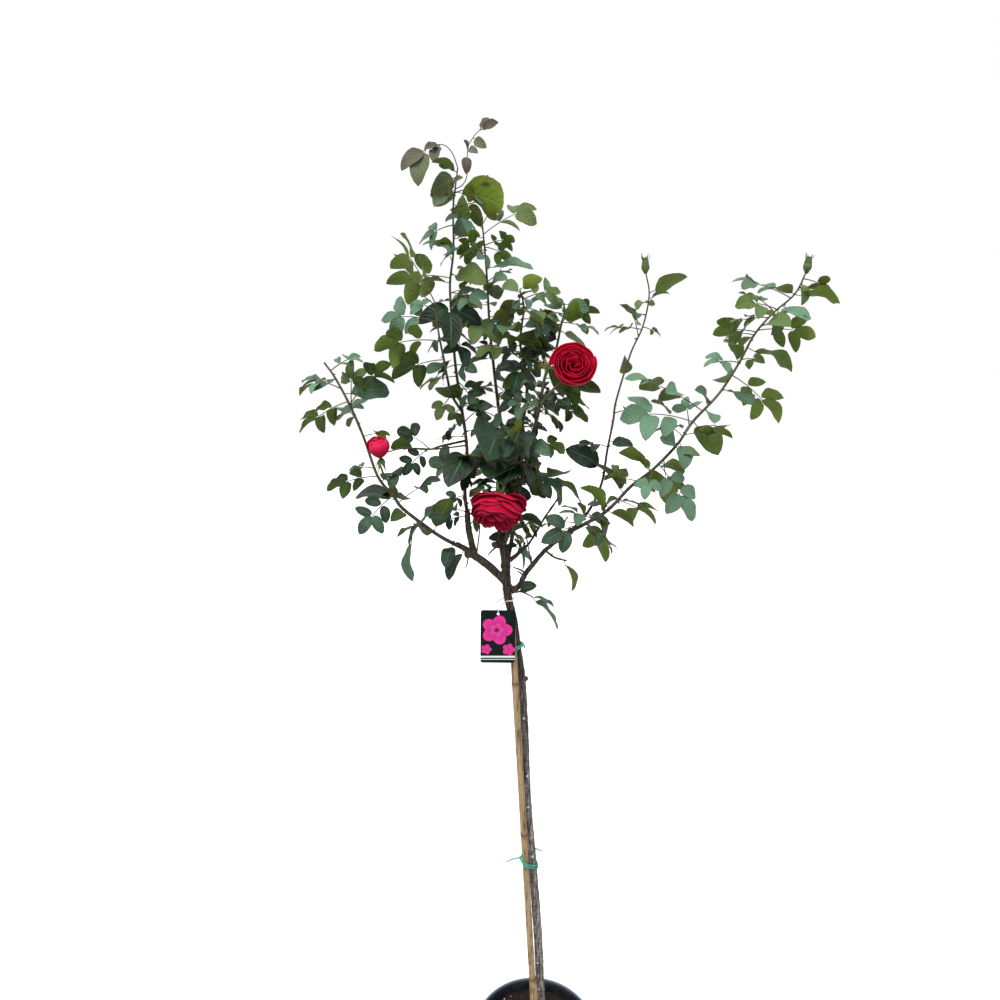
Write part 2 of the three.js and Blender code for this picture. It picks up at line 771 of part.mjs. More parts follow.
// Old wood that grows out of the stem: route, first and last radius.
const ARMS = {
  left: { route: [[-68, 0, 1222], [-90, -2, 1245], [-116, -5, 1266]], radii: [8, 7] },
  right: {
    route: [
      [-57, 0, 1196],
      [-38, -5, 1211],
      [-28, -14, 1235],
      [-14, -18, 1255],
      [6, -22, 1281],
      [48, -35, 1318],
    ],
    radii: [6, 3.6],
  },
  spur: { route: [[-66, 0, 1250], [-48, -5, 1263], [-36, -8, 1276]], radii: [4.4, 3] },
  cut_stick: { route: [[-36, -8, 1276], [-20, -4, 1290], [5, 6, 1330], [31, 16, 1366]], radii: [2.4, 1.9] },
};
const KNUCKLES = [
  { centre: [-71, 4, 1288], radius: 8.8, height: 8 },
  { centre: [-58, 0, 1205], radius: 9.5, height: 11 },
  { centre: [-118, -5, 1270], radius: 9.5, height: 8 },
  { centre: [-36, -8, 1276], radius: 4.6, height: 5 },
  { centre: [48, -35, 1318], radius: 5.4, height: 6 },
];

// Each leafy stem: its route, its radius at the foot and at the end, side shoots that leave it, and
// its leaves. A leaf is [place on the route, x, y, z, pairs of leaflets]: the place counts the route's
// points from 0, x, y and z run from there to the tip of the leaf.
const STEMS = {
  stem_low_left: {
    route: [
      [-118, -5, 1270],
      [-170, -30, 1305],
      [-205, -45, 1335],
      [-235, -60, 1365],
      [-247, -70, 1387],
      [-270, -76, 1420],
      [-288, -82, 1480],
      [-305, -94, 1532],
      [-325, -105, 1578],
      [-340, -110, 1602],
    ],
    radii: [4, 1.7],
    leaves: [
      [2.1, -15, -25, -95, 2],
      [3.9, 20, 35, -10, 0],
      [4, -55, -20, -60, 2],
      [5, -80, -25, -20, 2],
      [6.1, 45, -30, 5, 1],
      [6.9, -30, 25, -15, 0],
      [7, 0, 20, 75, 1],
      [7.1, 65, -25, 65, 2],
      [7.2, -80, -30, -50, 2],
      [7.6, -70, 35, 10, 2],
    ],
    shoots: [
      {
        route: [[-247, -70, 1387], [-247, -82, 1405], [-256, -98, 1425], [-262, -105, 1448]],
        radii: [2, 1.6],
        leaves: [],
      },
    ],
    calyx: 'bloom_small',
  },
  stem_leader: {
    route: [
      [-118, -5, 1270],
      [-129, 10, 1335],
      [-134, 20, 1380],
      [-130, 30, 1450],
      [-140, 45, 1525],
      [-150, 55, 1595],
      [-155, 60, 1665],
      [-158, 60, 1730],
      [-151, 55, 1785],
      [-150, 45, 1850],
      [-146, 40, 1880],
      [-141, 35, 1912],
    ],
    radii: [5, 1.1],
    leaves: [
      [0.4, -40, -20, -60, 1],
      [1.1, -50, -35, 15, 1],
      [2.6, -5, -45, -35, 1],
      [3.7, -35, -35, -40, 1],
      [4, 40, -45, -10, 1],
      [4.6, 35, -40, -45, 2],
      [5, -30, -50, -20, 1],
      [6, 25, -45, -70, 2],
      [6.3, 85, -45, -55, 2],
      [6.8, 55, -60, -30, 2],
      [7, 5, -70, -105, 1],
      [7.2, -115, 40, -5, 2],
      [8, -25, -35, 10, 0],
      [9, 85, -30, 5, 2],
      [9.5, -35, 30, -5, 0],
      [9.9, -35, -25, 45, 1],
      [10.3, -95, 20, 20, 2],
      [10.8, 70, -15, 75, 3],
    ],
    shoots: [
      {
        route: [
          [-139, 42, 1515],
          [-155, 20, 1545],
          [-160, 5, 1570],
          [-165, -10, 1605],
          [-170, -20, 1635],
          [-174, -25, 1665],
          [-175, -30, 1692],
        ],
        radii: [2.6, 1.2],
        leaves: [
          [1, -25, -25, -40, 1],
          [2.9, -25, -35, -15, 0],
          [3, -90, 15, -30, 1],
          [4, -105, -20, -15, 2],
          [4.3, 0, -45, -25, 1],
          [5, -95, 20, 5, 2],
          [5.6, -45, 30, 15, 1],
          [5.9, -40, -20, 25, 1],
          [6, -70, 25, 110, 2],
        ],
      },
      {
        route: [[-132, 33, 1465], [-172, 0, 1460], [-190, -15, 1456], [-212, -30, 1459]],
        radii: [2.2, 1.4],
        leaves: [
          [2, -60, 25, 30, 1],
          [2.2, -40, -25, -40, 2],
          [3, -40, -20, 5, 0],
        ],
      },
    ],
  },
  stem_back: {
    route: [
      [-72, 8, 1284],
      [-73, 32, 1325],
      [-71, 60, 1370],
      [-66, 75, 1405],
      [-66, 90, 1460],
      [-75, 105, 1520],
      [-84, 115, 1595],
      [-91, 120, 1665],
      [-95, 120, 1740],
      [-99, 115, 1795],
      [-103, 110, 1836],
    ],
    radii: [4.6, 1.3],
    leaves: [
      [3, 15, -75, -30, 1],
      [3, -65, 50, -25, 1],
      [3.3, 140, -60, -60, 2],
      [4, -25, -90, -20, 1],
      [4.3, 70, 45, -80, 2],
      [4.6, -60, -45, 25, 1],
      [5, 0, -80, -30, 1],
      [5.5, -40, 40, -15, 1],
      [5.5, 30, 60, -35, 1],
      [6.6, -40, 45, 45, 1],
      [8, 45, -25, 20, 1],
      [8.1, -55, 30, 20, 1],
      [9, -45, -25, -15, 0],
      [9.1, 50, 25, -20, 1],
      [9.2, -35, 40, -30, 1],
      [9.6, 95, 30, 50, 2],
      [10, 35, 20, 50, 1],
    ],
    shoots: [
      {
        route: [[-70, 55, 1365], [-74, 15, 1394], [-76, -25, 1402], [-77, -57, 1387]],
        radii: [3, 2.4],
        leaves: [],
      },
    ],
    calyx: 'bloom_front',
  },
  stem_middle: {
    route: [
      [-58, 7, 1258],
      [-49, 24, 1302],
      [-40, 57, 1385],
      [-33, 60, 1480],
      [-25, 40, 1545],
      [-30, 20, 1595],
      [-38, 10, 1630],
      [-36, 0, 1660],
      [-33, -10, 1690],
      [-40, -15, 1717],
    ],
    radii: [4, 1.2],
    leaves: [
      [3, -65, -70, -40, 1],
      [3.5, 65, 70, 20, 1],
      [5, 30, 50, -20, 1],
      [5.2, -20, -70, -50, 1],
      [6, 35, -35, -5, 0],
      [6.3, -35, 30, 0, 1],
      [8, -40, -20, -5, 0],
      [8.4, 65, 30, 15, 2],
      [8.8, -30, 25, 15, 0],
      [9, 35, 15, 20, 0],
    ],
    shoots: [],
  },
  stem_front: {
    route: [
      [-67, 1, 1280],
      [-52, -12, 1326],
      [-36, -30, 1405],
      [-20, -45, 1475],
      [-7, -46, 1533],
      [2, -35, 1580],
      [20, -10, 1620],
      [29, 0, 1660],
      [35, 8, 1682],
      [34, 10, 1697],
    ],
    radii: [4.2, 1.2],
    leaves: [
      [3, 30, -35, -20, 0],
      [3.4, -50, -60, -15, 1],
      [4, 30, -50, -40, 1],
      [4.1, 80, 20, -35, 2],
      [4.3, -40, -55, -35, 1],
      [4.9, 95, -15, -15, 1],
      [6, -25, 25, 20, 0],
      [7, -60, -25, 0, 2],
      [7.2, 60, -15, -20, 1],
      [8.8, -30, 20, 20, 0],
    ],
    shoots: [
      {
        route: [[-6, -46, 1535], [12, -45, 1555], [32, -38, 1575], [46, -38, 1588]],
        radii: [2.6, 2.2],
        leaves: [[1.2, 55, -35, -30, 1]],
      },
    ],
    calyx: 'bloom_big',
  },
  stem_right: {
    route: [
      [48, -35, 1318],
      [75, -40, 1334],
      [100, -45, 1350],
      [120, -50, 1370],
      [145, -55, 1400],
      [180, -60, 1430],
      [220, -50, 1470],
      [245, -40, 1505],
      [290, -25, 1550],
      [325, -10, 1600],
      [350, 0, 1645],
      [380, 5, 1680],
      [414, 5, 1711],
      [430, 5, 1746],
    ],
    radii: [3.4, 1.3],
    leaves: [
      [0.8, -70, 35, -10, 1],
      [0.9, -75, -30, -25, 1],
      [0.9, 45, -25, -45, 1],
      [1, 40, 30, -75, 1],
      [1.4, -60, -35, 20, 1],
      [2.4, 40, -30, -20, 0],
      [3.2, 70, 25, -45, 1],
      [4.3, -50, 35, -5, 1],
      [4.9, -20, 25, 20, 0],
      [5, -20, -55, -45, 1],
      [5.2, 55, -25, -90, 2],
      [5.4, 20, 50, -85, 1],
      [6, -35, -30, 15, 0],
      [6.4, 85, 15, -5, 2],
      [7, -125, -35, 10, 2],
      [7.4, -125, 25, 55, 2],
      [8.6, 75, -30, -75, 2],
      [9, -65, -25, -5, 1],
      [9.1, 50, 30, -5, 1],
      [10, -55, -30, -5, 1],
      [10.2, 85, -30, -10, 2],
      [10.8, -70, 25, -15, 2],
      [11.2, -80, -35, 5, 1],
      [11.3, -25, -40, -45, 1],
      [11.8, -90, 30, 30, 2],
      [12, -40, -25, 10, 0],
      [12.2, 55, -15, -5, 0],
    ],
    shoots: [],
    bud: 'right',
  },
  stem_upright: {
    route: [
      [48, -35, 1318],
      [80, -20, 1350],
      [104, 0, 1395],
      [115, 20, 1450],
      [126, 35, 1500],
      [131, 40, 1535],
      [155, 50, 1615],
      [175, 55, 1660],
      [184, 55, 1712],
      [176, 51, 1750],
    ],
    radii: [2.6, 1.1],
    leaves: [
      [2.2, 50, 30, 0, 1],
      [3.1, -55, -30, 5, 1],
      [6.9, -105, -30, 0, 2],
      [7, 35, 25, -20, 0],
      [7.8, -25, -25, -15, 0],
      [8.1, 30, -25, 0, 0],
    ],
    shoots: [],
    bud: 'left',
  },
  twig_low_middle: {
    route: [[-57, -4, 1196], [-36, -20, 1205], [-18, -32, 1201]],
    radii: [2, 1.2],
    leaves: [
      [1.6, 10, 25, 25, 0],
      [2, 50, -35, -55, 2],
    ],
    shoots: [],
  },
  twig_low_right: {
    route: [[6, -22, 1281], [22, -36, 1272], [42, -42, 1268]],
    radii: [2.2, 1.4],
    leaves: [[1.8, 12, -14, -52, 0]],
    shoots: [],
  },
  twig_spur: {
    route: [[-36, -8, 1276], [-38, -20, 1290], [-46, -26, 1302]],
    radii: [2.4, 2],
    leaves: [
      [1, 20, -20, 22, 0],
      [1.2, -26, -16, -4, 0],
    ],
    shoots: [],
  },
};

function taper(radii) {
  return (along) => THREE.MathUtils.lerp(radii[0], radii[1], along);
}

function stubShare(route) {
  return WOOD_STUB / route.getLength();
}

function woodSolid() {
  const reached = stemRoute.getLengths((STEM.length - 1) * 10);
  const shares = STEM.map((_, row) => reached[row * 10] / reached[reached.length - 1]);
  const pieces = [bentRod(stemRoute, shares, stemRadius, WOOD_SIDES)];
  for (const arm of Object.values(ARMS)) {
    const route = routeThrough(arm.route);
    const steps = Math.ceil(route.getLength() / ARM_STEP);
    pieces.push(bentRod(route, evenShares(0, 1, steps), taper(arm.radii), 6));
  }
  for (const knuckle of KNUCKLES) {
    pieces.push(ball(vector(knuckle.centre), knuckle.radius, knuckle.height, 7, 4));
  }
  for (const stem of Object.values(STEMS)) {
    const route = routeThrough(stem.route);
    const collar = stem.radii[0] + COLLAR;
    pieces.push(bentRod(route, [0, stubShare(route)], () => collar, 5));
  }
  return join(pieces);
}

function leafyRod(shoot, from, draw) {
  const route = routeThrough(shoot.route);
  const steps = Math.max(2, Math.ceil((route.getLength() * (1 - from)) / CANE_STEP));
  const pieces = [bentRod(route, evenShares(from, 1, steps), taper(shoot.radii), CANE_SIDES)];
  const last = shoot.route.length - 1;
  for (const [place, x, y, z, pairs] of shoot.leaves) {
    const base = route.getPoint(place / last);
    pieces.push(leafSolid(base, new THREE.Vector3(x, y, z), pairs, draw));
  }
  return pieces;
}

function leafySolid(stem, seed) {
  const draw = makeDraw(seed);
  const route = routeThrough(stem.route);
  const from = stubShare(route) + CLEARANCE / route.getLength();
  const pieces = leafyRod(stem, from, draw);
  for (const shoot of stem.shoots) {
    pieces.push(...leafyRod(shoot, 0, draw));
  }
  if (stem.calyx) pieces.push(calyxSolid(BLOOMS[stem.calyx]));
  if (stem.bud) pieces.push(budSolid(BUDS[stem.bud]));
  return join(pieces);
}

// ---------------------------------------------------------------- the whole plant

const group = new THREE.Group();
group.add(named('pot', potSolid(), 0x1c1d1f, 0.55));
group.add(named('soil', soilSolid(), 0x2a211b, 0.95));
group.add(named('trunk', woodSolid(), 0x5d514b, 0.85));
group.add(named('bamboo_stake', stakeSolid(), 0xb89a66, 0.6));
group.add(named('upper_tie', tieSolid(UPPER_TIE, [[[3, 2, -4], [4, 4, -9]]]), 0x3aa98a, 0.45));
group.add(named('lower_tie', tieSolid(LOWER_TIE, [
  [[-7, -1, 1], [-17, -2, 0], [-27, -3, -4]],
  [[4, 11, 3], [11, 25, 4], [24, 32, 3], [42, 25, 0]],
]), 0x3aa98a, 0.45));
group.add(named('label', labelSolid(), 0x16302b, 0.4));
group.add(named('label_loop', loopSolid(), 0xe9e9e6, 0.5));

let stemSeed = 100;
for (const [name, stem] of Object.entries(STEMS)) {
  stemSeed += 17;
  group.add(named(name, leafySolid(stem, stemSeed), 0x3f6148, 0.45));
}
for (const [name, bloom] of Object.entries(BLOOMS)) {
  group.add(named(name, bloomSolid(bloom), 0xb5002b, 0.5));
}

export default group;
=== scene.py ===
# A standard rose in its nursery pot: a rose crown with crimson flowers on a tall bare stem, tied to a
# bamboo cane. Lengths are in metres, or in millimetres where a comment says so.

import math

import bmesh
import bpy
from mathutils import Matrix, Quaternion, Vector


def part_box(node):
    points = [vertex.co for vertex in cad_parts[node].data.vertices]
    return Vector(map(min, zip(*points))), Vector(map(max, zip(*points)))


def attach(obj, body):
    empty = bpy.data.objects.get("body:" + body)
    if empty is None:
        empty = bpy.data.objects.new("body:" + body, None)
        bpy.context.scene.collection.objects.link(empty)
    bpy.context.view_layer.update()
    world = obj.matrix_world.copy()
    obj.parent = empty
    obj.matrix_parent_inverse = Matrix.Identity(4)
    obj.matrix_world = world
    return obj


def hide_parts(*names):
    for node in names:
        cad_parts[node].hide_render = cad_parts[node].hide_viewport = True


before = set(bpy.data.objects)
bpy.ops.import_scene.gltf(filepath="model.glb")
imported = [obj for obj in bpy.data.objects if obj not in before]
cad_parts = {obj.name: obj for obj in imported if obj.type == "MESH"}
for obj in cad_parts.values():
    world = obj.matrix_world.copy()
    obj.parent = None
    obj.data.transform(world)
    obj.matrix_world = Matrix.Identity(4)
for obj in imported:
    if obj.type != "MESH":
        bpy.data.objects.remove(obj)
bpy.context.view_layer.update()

# ---------------------------------------------------------------- studio
# A pale floor in a white room, with one large soft lamp above the plant and in front of it. The floor
# sends little light back up, so the plant stays dark in its depth, as it does out of doors.
# The camera stands at the height of the crown and looks a little down on it.

CAMERA_PLACE = (-0.072, -1.230, 1.620)
CAMERA_TURN = (math.radians(78.3), 0, 0)
LAMP_TURN = (math.radians(38), 0, math.radians(-30))
LAMP_SOFTNESS = math.radians(30)
FLOOR_RADIUS = 14
FLOOR_HEIGHT = -0.0004
WHITE = (1, 1, 1, 1)

bpy.ops.object.select_all(action="DESELECT")
bpy.ops.object.camera_add(location=CAMERA_PLACE, rotation=CAMERA_TURN)
camera = bpy.context.object
camera.data.sensor_width = 36
camera.data.lens = 26
bpy.context.scene.camera = camera
bpy.context.scene.view_settings.view_transform = "Standard"

bpy.ops.object.light_add(type="SUN", rotation=LAMP_TURN)
lamp = bpy.context.object
lamp.data.energy = 1.7
lamp.data.angle = LAMP_SOFTNESS


def new_finish(name, settings):
    """A new material with the given settings of its shader, with its node tree and the shader."""
    finish = bpy.data.materials.new(name)
    finish.use_nodes = True
    shader = finish.node_tree.nodes["Principled BSDF"]
    for label, value in settings.items():
        shader.inputs[label].default_value = value
    return finish, finish.node_tree, shader


def add_node(tree, kind, values=None, **settings):
    """Adds a node. A value that is another node's output is linked, and any other is set."""
    made = tree.nodes.new("ShaderNode" + kind)
    for label, value in settings.items():
        setattr(made, label, value)
    for label, value in (values or {}).items():
        if isinstance(value, bpy.types.NodeSocket):
            tree.links.new(value, made.inputs[label])
        else:
            made.inputs[label].default_value = value
    return made


def ramp(tree, value, low, high):
    """0 where the value is low and 1 where it is high, smooth between them. Low may be the larger one."""
    limits = {"Value": value, "From Min": low, "From Max": high}
    return add_node(tree, "MapRange", limits, interpolation_type="SMOOTHSTEP").outputs[0]


def blend(tree, share, first, second):
    """Two colours, mixed by a share that may change over the surface."""
    return add_node(tree, "Mix", {0: share, 6: first, 7: second}, data_type="RGBA").outputs[2]


# The room's light comes from above more than from the sides, and the room is white all round.
room = bpy.data.worlds.new("white_room")
room.use_nodes = True
tree = room.node_tree
glow = tree.nodes["Background"]
height = add_node(tree, "SeparateXYZ", {0: add_node(tree, "TexCoord").outputs["Generated"]}).outputs["Z"]
shade = blend(tree, ramp(tree, height, -0.1, 0.9), (0.48, 0.49, 0.5, 1), (1.35, 1.37, 1.4, 1))
seen = add_node(tree, "LightPath").outputs["Is Camera Ray"]
tree.links.new(blend(tree, seen, shade, WHITE), glow.inputs["Color"])
bpy.context.scene.world = room

floor_middle = (0, 0, FLOOR_HEIGHT)
bpy.ops.mesh.primitive_circle_add(vertices=96, radius=FLOOR_RADIUS, fill_type="NGON", location=floor_middle)
floor = bpy.context.object
floor.name = "floor"
bpy.ops.object.transform_apply(location=True)
floor_paint, tree, shader = new_finish("floor_paint", {"Roughness": 0.9, "Specular IOR Level": 0.1})
spots = add_node(tree, "TexNoise", {"Scale": 3.0, "Detail": 3.0})
shade = blend(tree, spots.outputs[0], (0.94, 0.94, 0.94, 1), (0.97, 0.97, 0.97, 1))
seen = add_node(tree, "LightPath").outputs["Is Camera Ray"]
shade = blend(tree, seen, (0.5, 0.5, 0.5, 1), shade)
tree.links.new(shade, shader.inputs["Base Color"])
floor.data.materials.append(floor_paint)

# ---------------------------------------------------------------- pot
# A black nursery pot, moulded in one piece: a tapered wall with a turned-over rim, and a base that
# stands on its middle and its edge, with five drain holes in the raised ring between them.

POT_OUTLINE = [
    (0.0460, 0.0000),
    (0.0500, 0.0035),
    (0.0760, 0.0035),
    (0.0800, 0.0000),
    (0.0935, 0.0000),
    (0.0953, 0.0020),
    (0.1148, 0.2010),
    (0.1158, 0.2020),
    (0.1162, 0.2060),
    (0.1154, 0.2070),
    (0.1190, 0.2435),
    (0.1242, 0.2440),
    (0.1255, 0.2455),
    (0.1255, 0.2562),
    (0.1240, 0.2580),
    (0.1216, 0.2580),
    (0.1206, 0.2564),
    (0.1163, 0.2420),
    (0.0925, 0.0080),
    (0.0900, 0.0060),
]

# The holes' ring, and the heights between which the top of the rim is painted pale blue-grey, as a painted
# highlight where the rim catches the light.
DRAIN_RING = 0.063
DRAIN_RADIUS = 0.006
DRAIN_HOLES = 5
RIM_HIGHLIGHT_BAND = (0.2515, 0.2565)


def paint(shade):
    """A colour as a paint chart writes it, turned into the light that it sends back."""
    parts = [int(shade[i : i + 2], 16) / 255 for i in (1, 3, 5)]
    return (*(c / 12.92 if c < 0.04 else ((c + 0.055) / 1.055) ** 2.4 for c in parts), 1)


def sums(tree, operation, first, second=0.0, third=0.0):
    """The result of one sum on numbers that may change over the surface."""
    return add_node(tree, "Math", {0: first, 1: second, 2: third}, operation=operation).outputs[0]


def effect(name, inputs, outputs):
    """A new shader node group with its named inputs and outputs."""
    group = bpy.data.node_groups.new(name, "ShaderNodeTree")
    for label, kind in inputs.items():
        group.interface.new_socket(label, in_out="INPUT", socket_type="NodeSocket" + kind)
    for label, kind in outputs.items():
        group.interface.new_socket(label, in_out="OUTPUT", socket_type="NodeSocket" + kind)
    return group, group.nodes.new("NodeGroupInput").outputs, group.nodes.new("NodeGroupOutput").inputs


# Mottle: two colours in patches, and how much of the second one is there.
mottle, taken, given = effect(
    "mottle",
    {"Vector": "Vector", "Scale": "Float", "Edge": "Float", "First": "Color", "Second": "Color"},
    {"Color": "Color", "Mask": "Float"},
)
cloud = add_node(mottle, "TexNoise", {"Vector": taken["Vector"], "Scale": taken["Scale"], "Detail": 4.0})
low = sums(mottle, "SUBTRACT", 0.5, taken["Edge"])
high = sums(mottle, "ADD", 0.5, taken["Edge"])
patch = ramp(mottle, cloud.outputs[0], low, high)
mottle.links.new(blend(mottle, patch, taken["First"], taken["Second"]), given["Color"])
mottle.links.new(patch, given["Mask"])

# Grain: small bumps of one size over a surface.
grain, taken, given = effect(
    "grain", {"Vector": "Vector", "Scale": "Float", "Depth": "Float"}, {"Normal": "Vector", "Height": "Float"}
)
bumps = add_node(grain, "TexNoise", {"Vector": taken["Vector"], "Scale": taken["Scale"], "Detail": 3.0})
raised = add_node(grain, "Bump", {"Height": bumps.outputs[0], "Strength": taken["Depth"], "Distance": 0.001})
grain.links.new(raised.outputs[0], given["Normal"])
grain.links.new(bumps.outputs[0], given["Height"])


def use_mottle(tree, vector, scale, edge, first, second):
    """Places the mottle in a material."""
    values = {"Vector": vector, "Scale": scale, "Edge": edge, "First": first, "Second": second}
    return add_node(tree, "Group", values, node_tree=mottle).outputs


def use_grain(tree, shader, vector, scale, depth):
    """Places the grain in a material as its surface's bumps."""
    made = add_node(tree, "Group", {"Vector": vector, "Scale": scale, "Depth": depth}, node_tree=grain)
    tree.links.new(made.outputs["Normal"], shader.inputs["Normal"])
    return made.outputs["Height"]


def only(*pieces):
    """Selects these pieces and nothing else. The first one is the active piece."""
    bpy.ops.object.select_all(action="DESELECT")
    for piece in pieces:
        piece.select_set(True)
    bpy.context.view_layer.objects.active = pieces[0]


def finish_with(piece, kind, **settings):
    """Adds a modifier to a piece and applies it."""
    only(piece)
    made = piece.modifiers.new(kind.lower(), kind)
    for label, value in settings.items():
        setattr(made, label, value)
    bpy.ops.object.modifier_apply(modifier=made.name)


def dress(piece, finish):
    """Gives a piece one finish all over."""
    piece.data.materials.clear()
    piece.data.materials.append(finish)


def where(tree):
    """The place on the object that a material is at."""
    return add_node(tree, "TexCoord").outputs["Object"]


def height_of(tree, place):
    """The height of a place."""
    return add_node(tree, "SeparateXYZ", {0: place}).outputs["Z"]


def gathered(name, parts):
    """Joins loose parts into one piece that stands at the origin."""
    only(*parts)
    if len(parts) > 1:
        bpy.ops.object.join()
    bpy.ops.object.transform_apply(location=True, rotation=True, scale=True)
    piece = bpy.context.object
    piece.name = piece.data.name = name
    return piece


bpy.ops.mesh.primitive_circle_add(vertices=96, radius=POT_OUTLINE[0][0], fill_type="NGON", location=(0, 0, 0))
pot = gathered("nursery_pot", [bpy.context.object])
bpy.ops.object.mode_set(mode="EDIT")
bpy.ops.mesh.select_all(action="SELECT")
bpy.ops.mesh.region_to_loop()
for (radius, height), (wider, higher) in zip(POT_OUTLINE, POT_OUTLINE[1:]):
    bpy.ops.mesh.extrude_edges_move(TRANSFORM_OT_translate={"value": (0, 0, higher - height)})
    bpy.ops.transform.resize(value=(wider / radius, wider / radius, 1), center_override=(0, 0, higher))
bpy.ops.mesh.edge_face_add()
bpy.ops.mesh.select_all(action="SELECT")
bpy.ops.mesh.normals_make_consistent(inside=False)
bpy.ops.object.mode_set(mode="OBJECT")

drills = []
for hole in range(DRAIN_HOLES):
    turn = hole * math.tau / DRAIN_HOLES
    place = (math.cos(turn) * DRAIN_RING, math.sin(turn) * DRAIN_RING, 0)
    bpy.ops.mesh.primitive_cylinder_add(vertices=24, radius=DRAIN_RADIUS, depth=0.04, location=place)
    drills.append(bpy.context.object)
drill = gathered("drill", drills)
finish_with(pot, "BOOLEAN", operation="DIFFERENCE", object=drill)
bpy.data.objects.remove(drill)
finish_with(pot, "BEVEL", width=0.0005, segments=2, limit_method="ANGLE", angle_limit=math.radians(35))
only(pot)
bpy.ops.object.shade_smooth_by_angle(angle=math.radians(40))

pot_plastic, tree, shader = new_finish("pot_plastic", {"Specular IOR Level": 0.45})
place = where(tree)
facing = height_of(tree, add_node(tree, "NewGeometry").outputs["Normal"])
dusty = use_mottle(tree, place, 60.0, 0.22, paint("#0c0f16"), paint("#161a22"))
settled = sums(tree, "MULTIPLY", ramp(tree, facing, 0.2, 0.9), dusty["Mask"])
height = height_of(tree, place)
# Painted highlight: the upward faces of the rim's top are lightened to a pale blue-grey.
rim_highlight = sums(tree, "MULTIPLY", ramp(tree, facing, 0.15, 0.8), ramp(tree, height, *RIM_HIGHLIGHT_BAND))
shade = blend(tree, rim_highlight, dusty["Color"], paint("#66707a"))
shade = blend(tree, sums(tree, "MULTIPLY", settled, 0.25), shade, paint("#6d6a66"))
tree.links.new(shade, shader.inputs["Base Color"])
rough = sums(tree, "MULTIPLY_ADD", dusty["Mask"], 0.2, 0.34)
tree.links.new(rough, shader.inputs["Roughness"])
use_grain(tree, shader, place, 1600.0, 0.14)
dress(pot, pot_plastic)
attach(pot, "root")
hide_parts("pot")

# ---------------------------------------------------------------- soil
# Dark bark compost, filled to just under the rim: a crumbly bed with loose chips of bark on it, and a
# few pale grains. The stem and the cane stand in it.

SOIL_RADIUS = 0.1146
SOIL_TOP = 0.2362
SOIL_FOOT_RADIUS = 0.0918
SOIL_FOOT_HEIGHT = 0.0063
SOIL_RINGS = 11

# Most chips are short. The few whose draw is past the last value are pale.
CHIP_COUNT = 620
CHIP_REACH = 0.111
CHIP_SHORTEST = 0.0022
CHIP_SPREAD = 0.0085
CHIP_THICKEST = 0.0025
PALE_FROM = 0.955


def draws(seed):
    """A row of numbers from a seed, each between two limits, for the small differences of growth."""
    state = seed

    def draw(low, high):
        nonlocal state
        state = state * 16807 % 2147483647
        return low + (high - low) * state / 2147483647

    return draw


def noise_texture(name, size, depth=2):
    """Soft noise that moves a mesh's points."""
    texture = bpy.data.textures.new(name, "CLOUDS")
    texture.noise_scale = size
    texture.noise_depth = depth
    return texture


soil_middle = (0, 0, SOIL_TOP)
bpy.ops.mesh.primitive_circle_add(vertices=64, radius=SOIL_RADIUS, fill_type="NGON", location=soil_middle)
soil = gathered("bark_compost", [bpy.context.object])
bpy.ops.object.mode_set(mode="EDIT")
bpy.ops.mesh.select_all(action="SELECT")
for _ in range(SOIL_RINGS):
    bpy.ops.mesh.inset(thickness=0.0098, depth=0.0003)
bpy.ops.mesh.poke()
bpy.ops.mesh.select_all(action="SELECT")
bpy.ops.mesh.subdivide(number_cuts=1)
bpy.ops.object.mode_set(mode="OBJECT")
lumps = {"direction": "Z", "mid_level": 0.5, "texture_coords": "LOCAL"}
finish_with(soil, "DISPLACE", texture=noise_texture("lumps", 0.035), strength=0.006, **lumps)
finish_with(soil, "DISPLACE", texture=noise_texture("crumbs", 0.006, 3), strength=0.0042, **lumps)
bpy.ops.object.mode_set(mode="EDIT")
bpy.ops.mesh.select_all(action="SELECT")
bpy.ops.mesh.region_to_loop()
bpy.ops.mesh.extrude_edges_move(TRANSFORM_OT_translate={"value": (0, 0, SOIL_FOOT_HEIGHT - SOIL_TOP)})
narrower = SOIL_FOOT_RADIUS / SOIL_RADIUS
bpy.ops.transform.resize(value=(narrower, narrower, 1), center_override=(0, 0, 0))
bpy.ops.transform.resize(value=(1, 1, 0), center_override=(0, 0, SOIL_FOOT_HEIGHT))
bpy.ops.mesh.edge_face_add()
bpy.ops.mesh.select_all(action="SELECT")
bpy.ops.mesh.normals_make_consistent(inside=False)
bpy.ops.object.mode_set(mode="OBJECT")

bark_crumb, tree, shader = new_finish("bark_crumb", {"Roughness": 0.95, "Specular IOR Level": 0.2})
place = where(tree)
damp = use_mottle(tree, place, 90.0, 0.16, paint("#080707"), paint("#17120f"))
fibre = use_mottle(tree, place, 420.0, 0.1, damp["Color"], paint("#2b211b"))
tree.links.new(fibre["Color"], shader.inputs["Base Color"])
use_grain(tree, shader, place, 700.0, 0.9)
dress(soil, bark_crumb)
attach(soil, "root")
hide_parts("soil")


def pick(piece, test):
    """In edit mode, selects the points that pass a test of their place, and the faces that they span."""
    mesh = bmesh.from_edit_mesh(piece.data)
    for part in (*mesh.faces, *mesh.edges):
        part.select = False
    for point in mesh.verts:
        point.select = bool(test(point.co))
    mesh.select_flush(True)
    bmesh.update_edit_mesh(piece.data)


def copy_of(model, place):
    """A copy of a model with a mesh of its own, set at its place."""
    twin = model.copy()
    twin.data = model.data.copy()
    twin.data.transform(place)
    bpy.context.collection.objects.link(twin)
    return twin


def stain(part, colour):
    """Gives every point of a part one value in the attribute that its material reads."""
    layer = part.data.attributes.get("stain") or part.data.attributes.new("stain", "FLOAT_COLOR", "POINT")
    layer.data.foreach_set("color", [*colour, 1.0] * len(part.data.vertices))


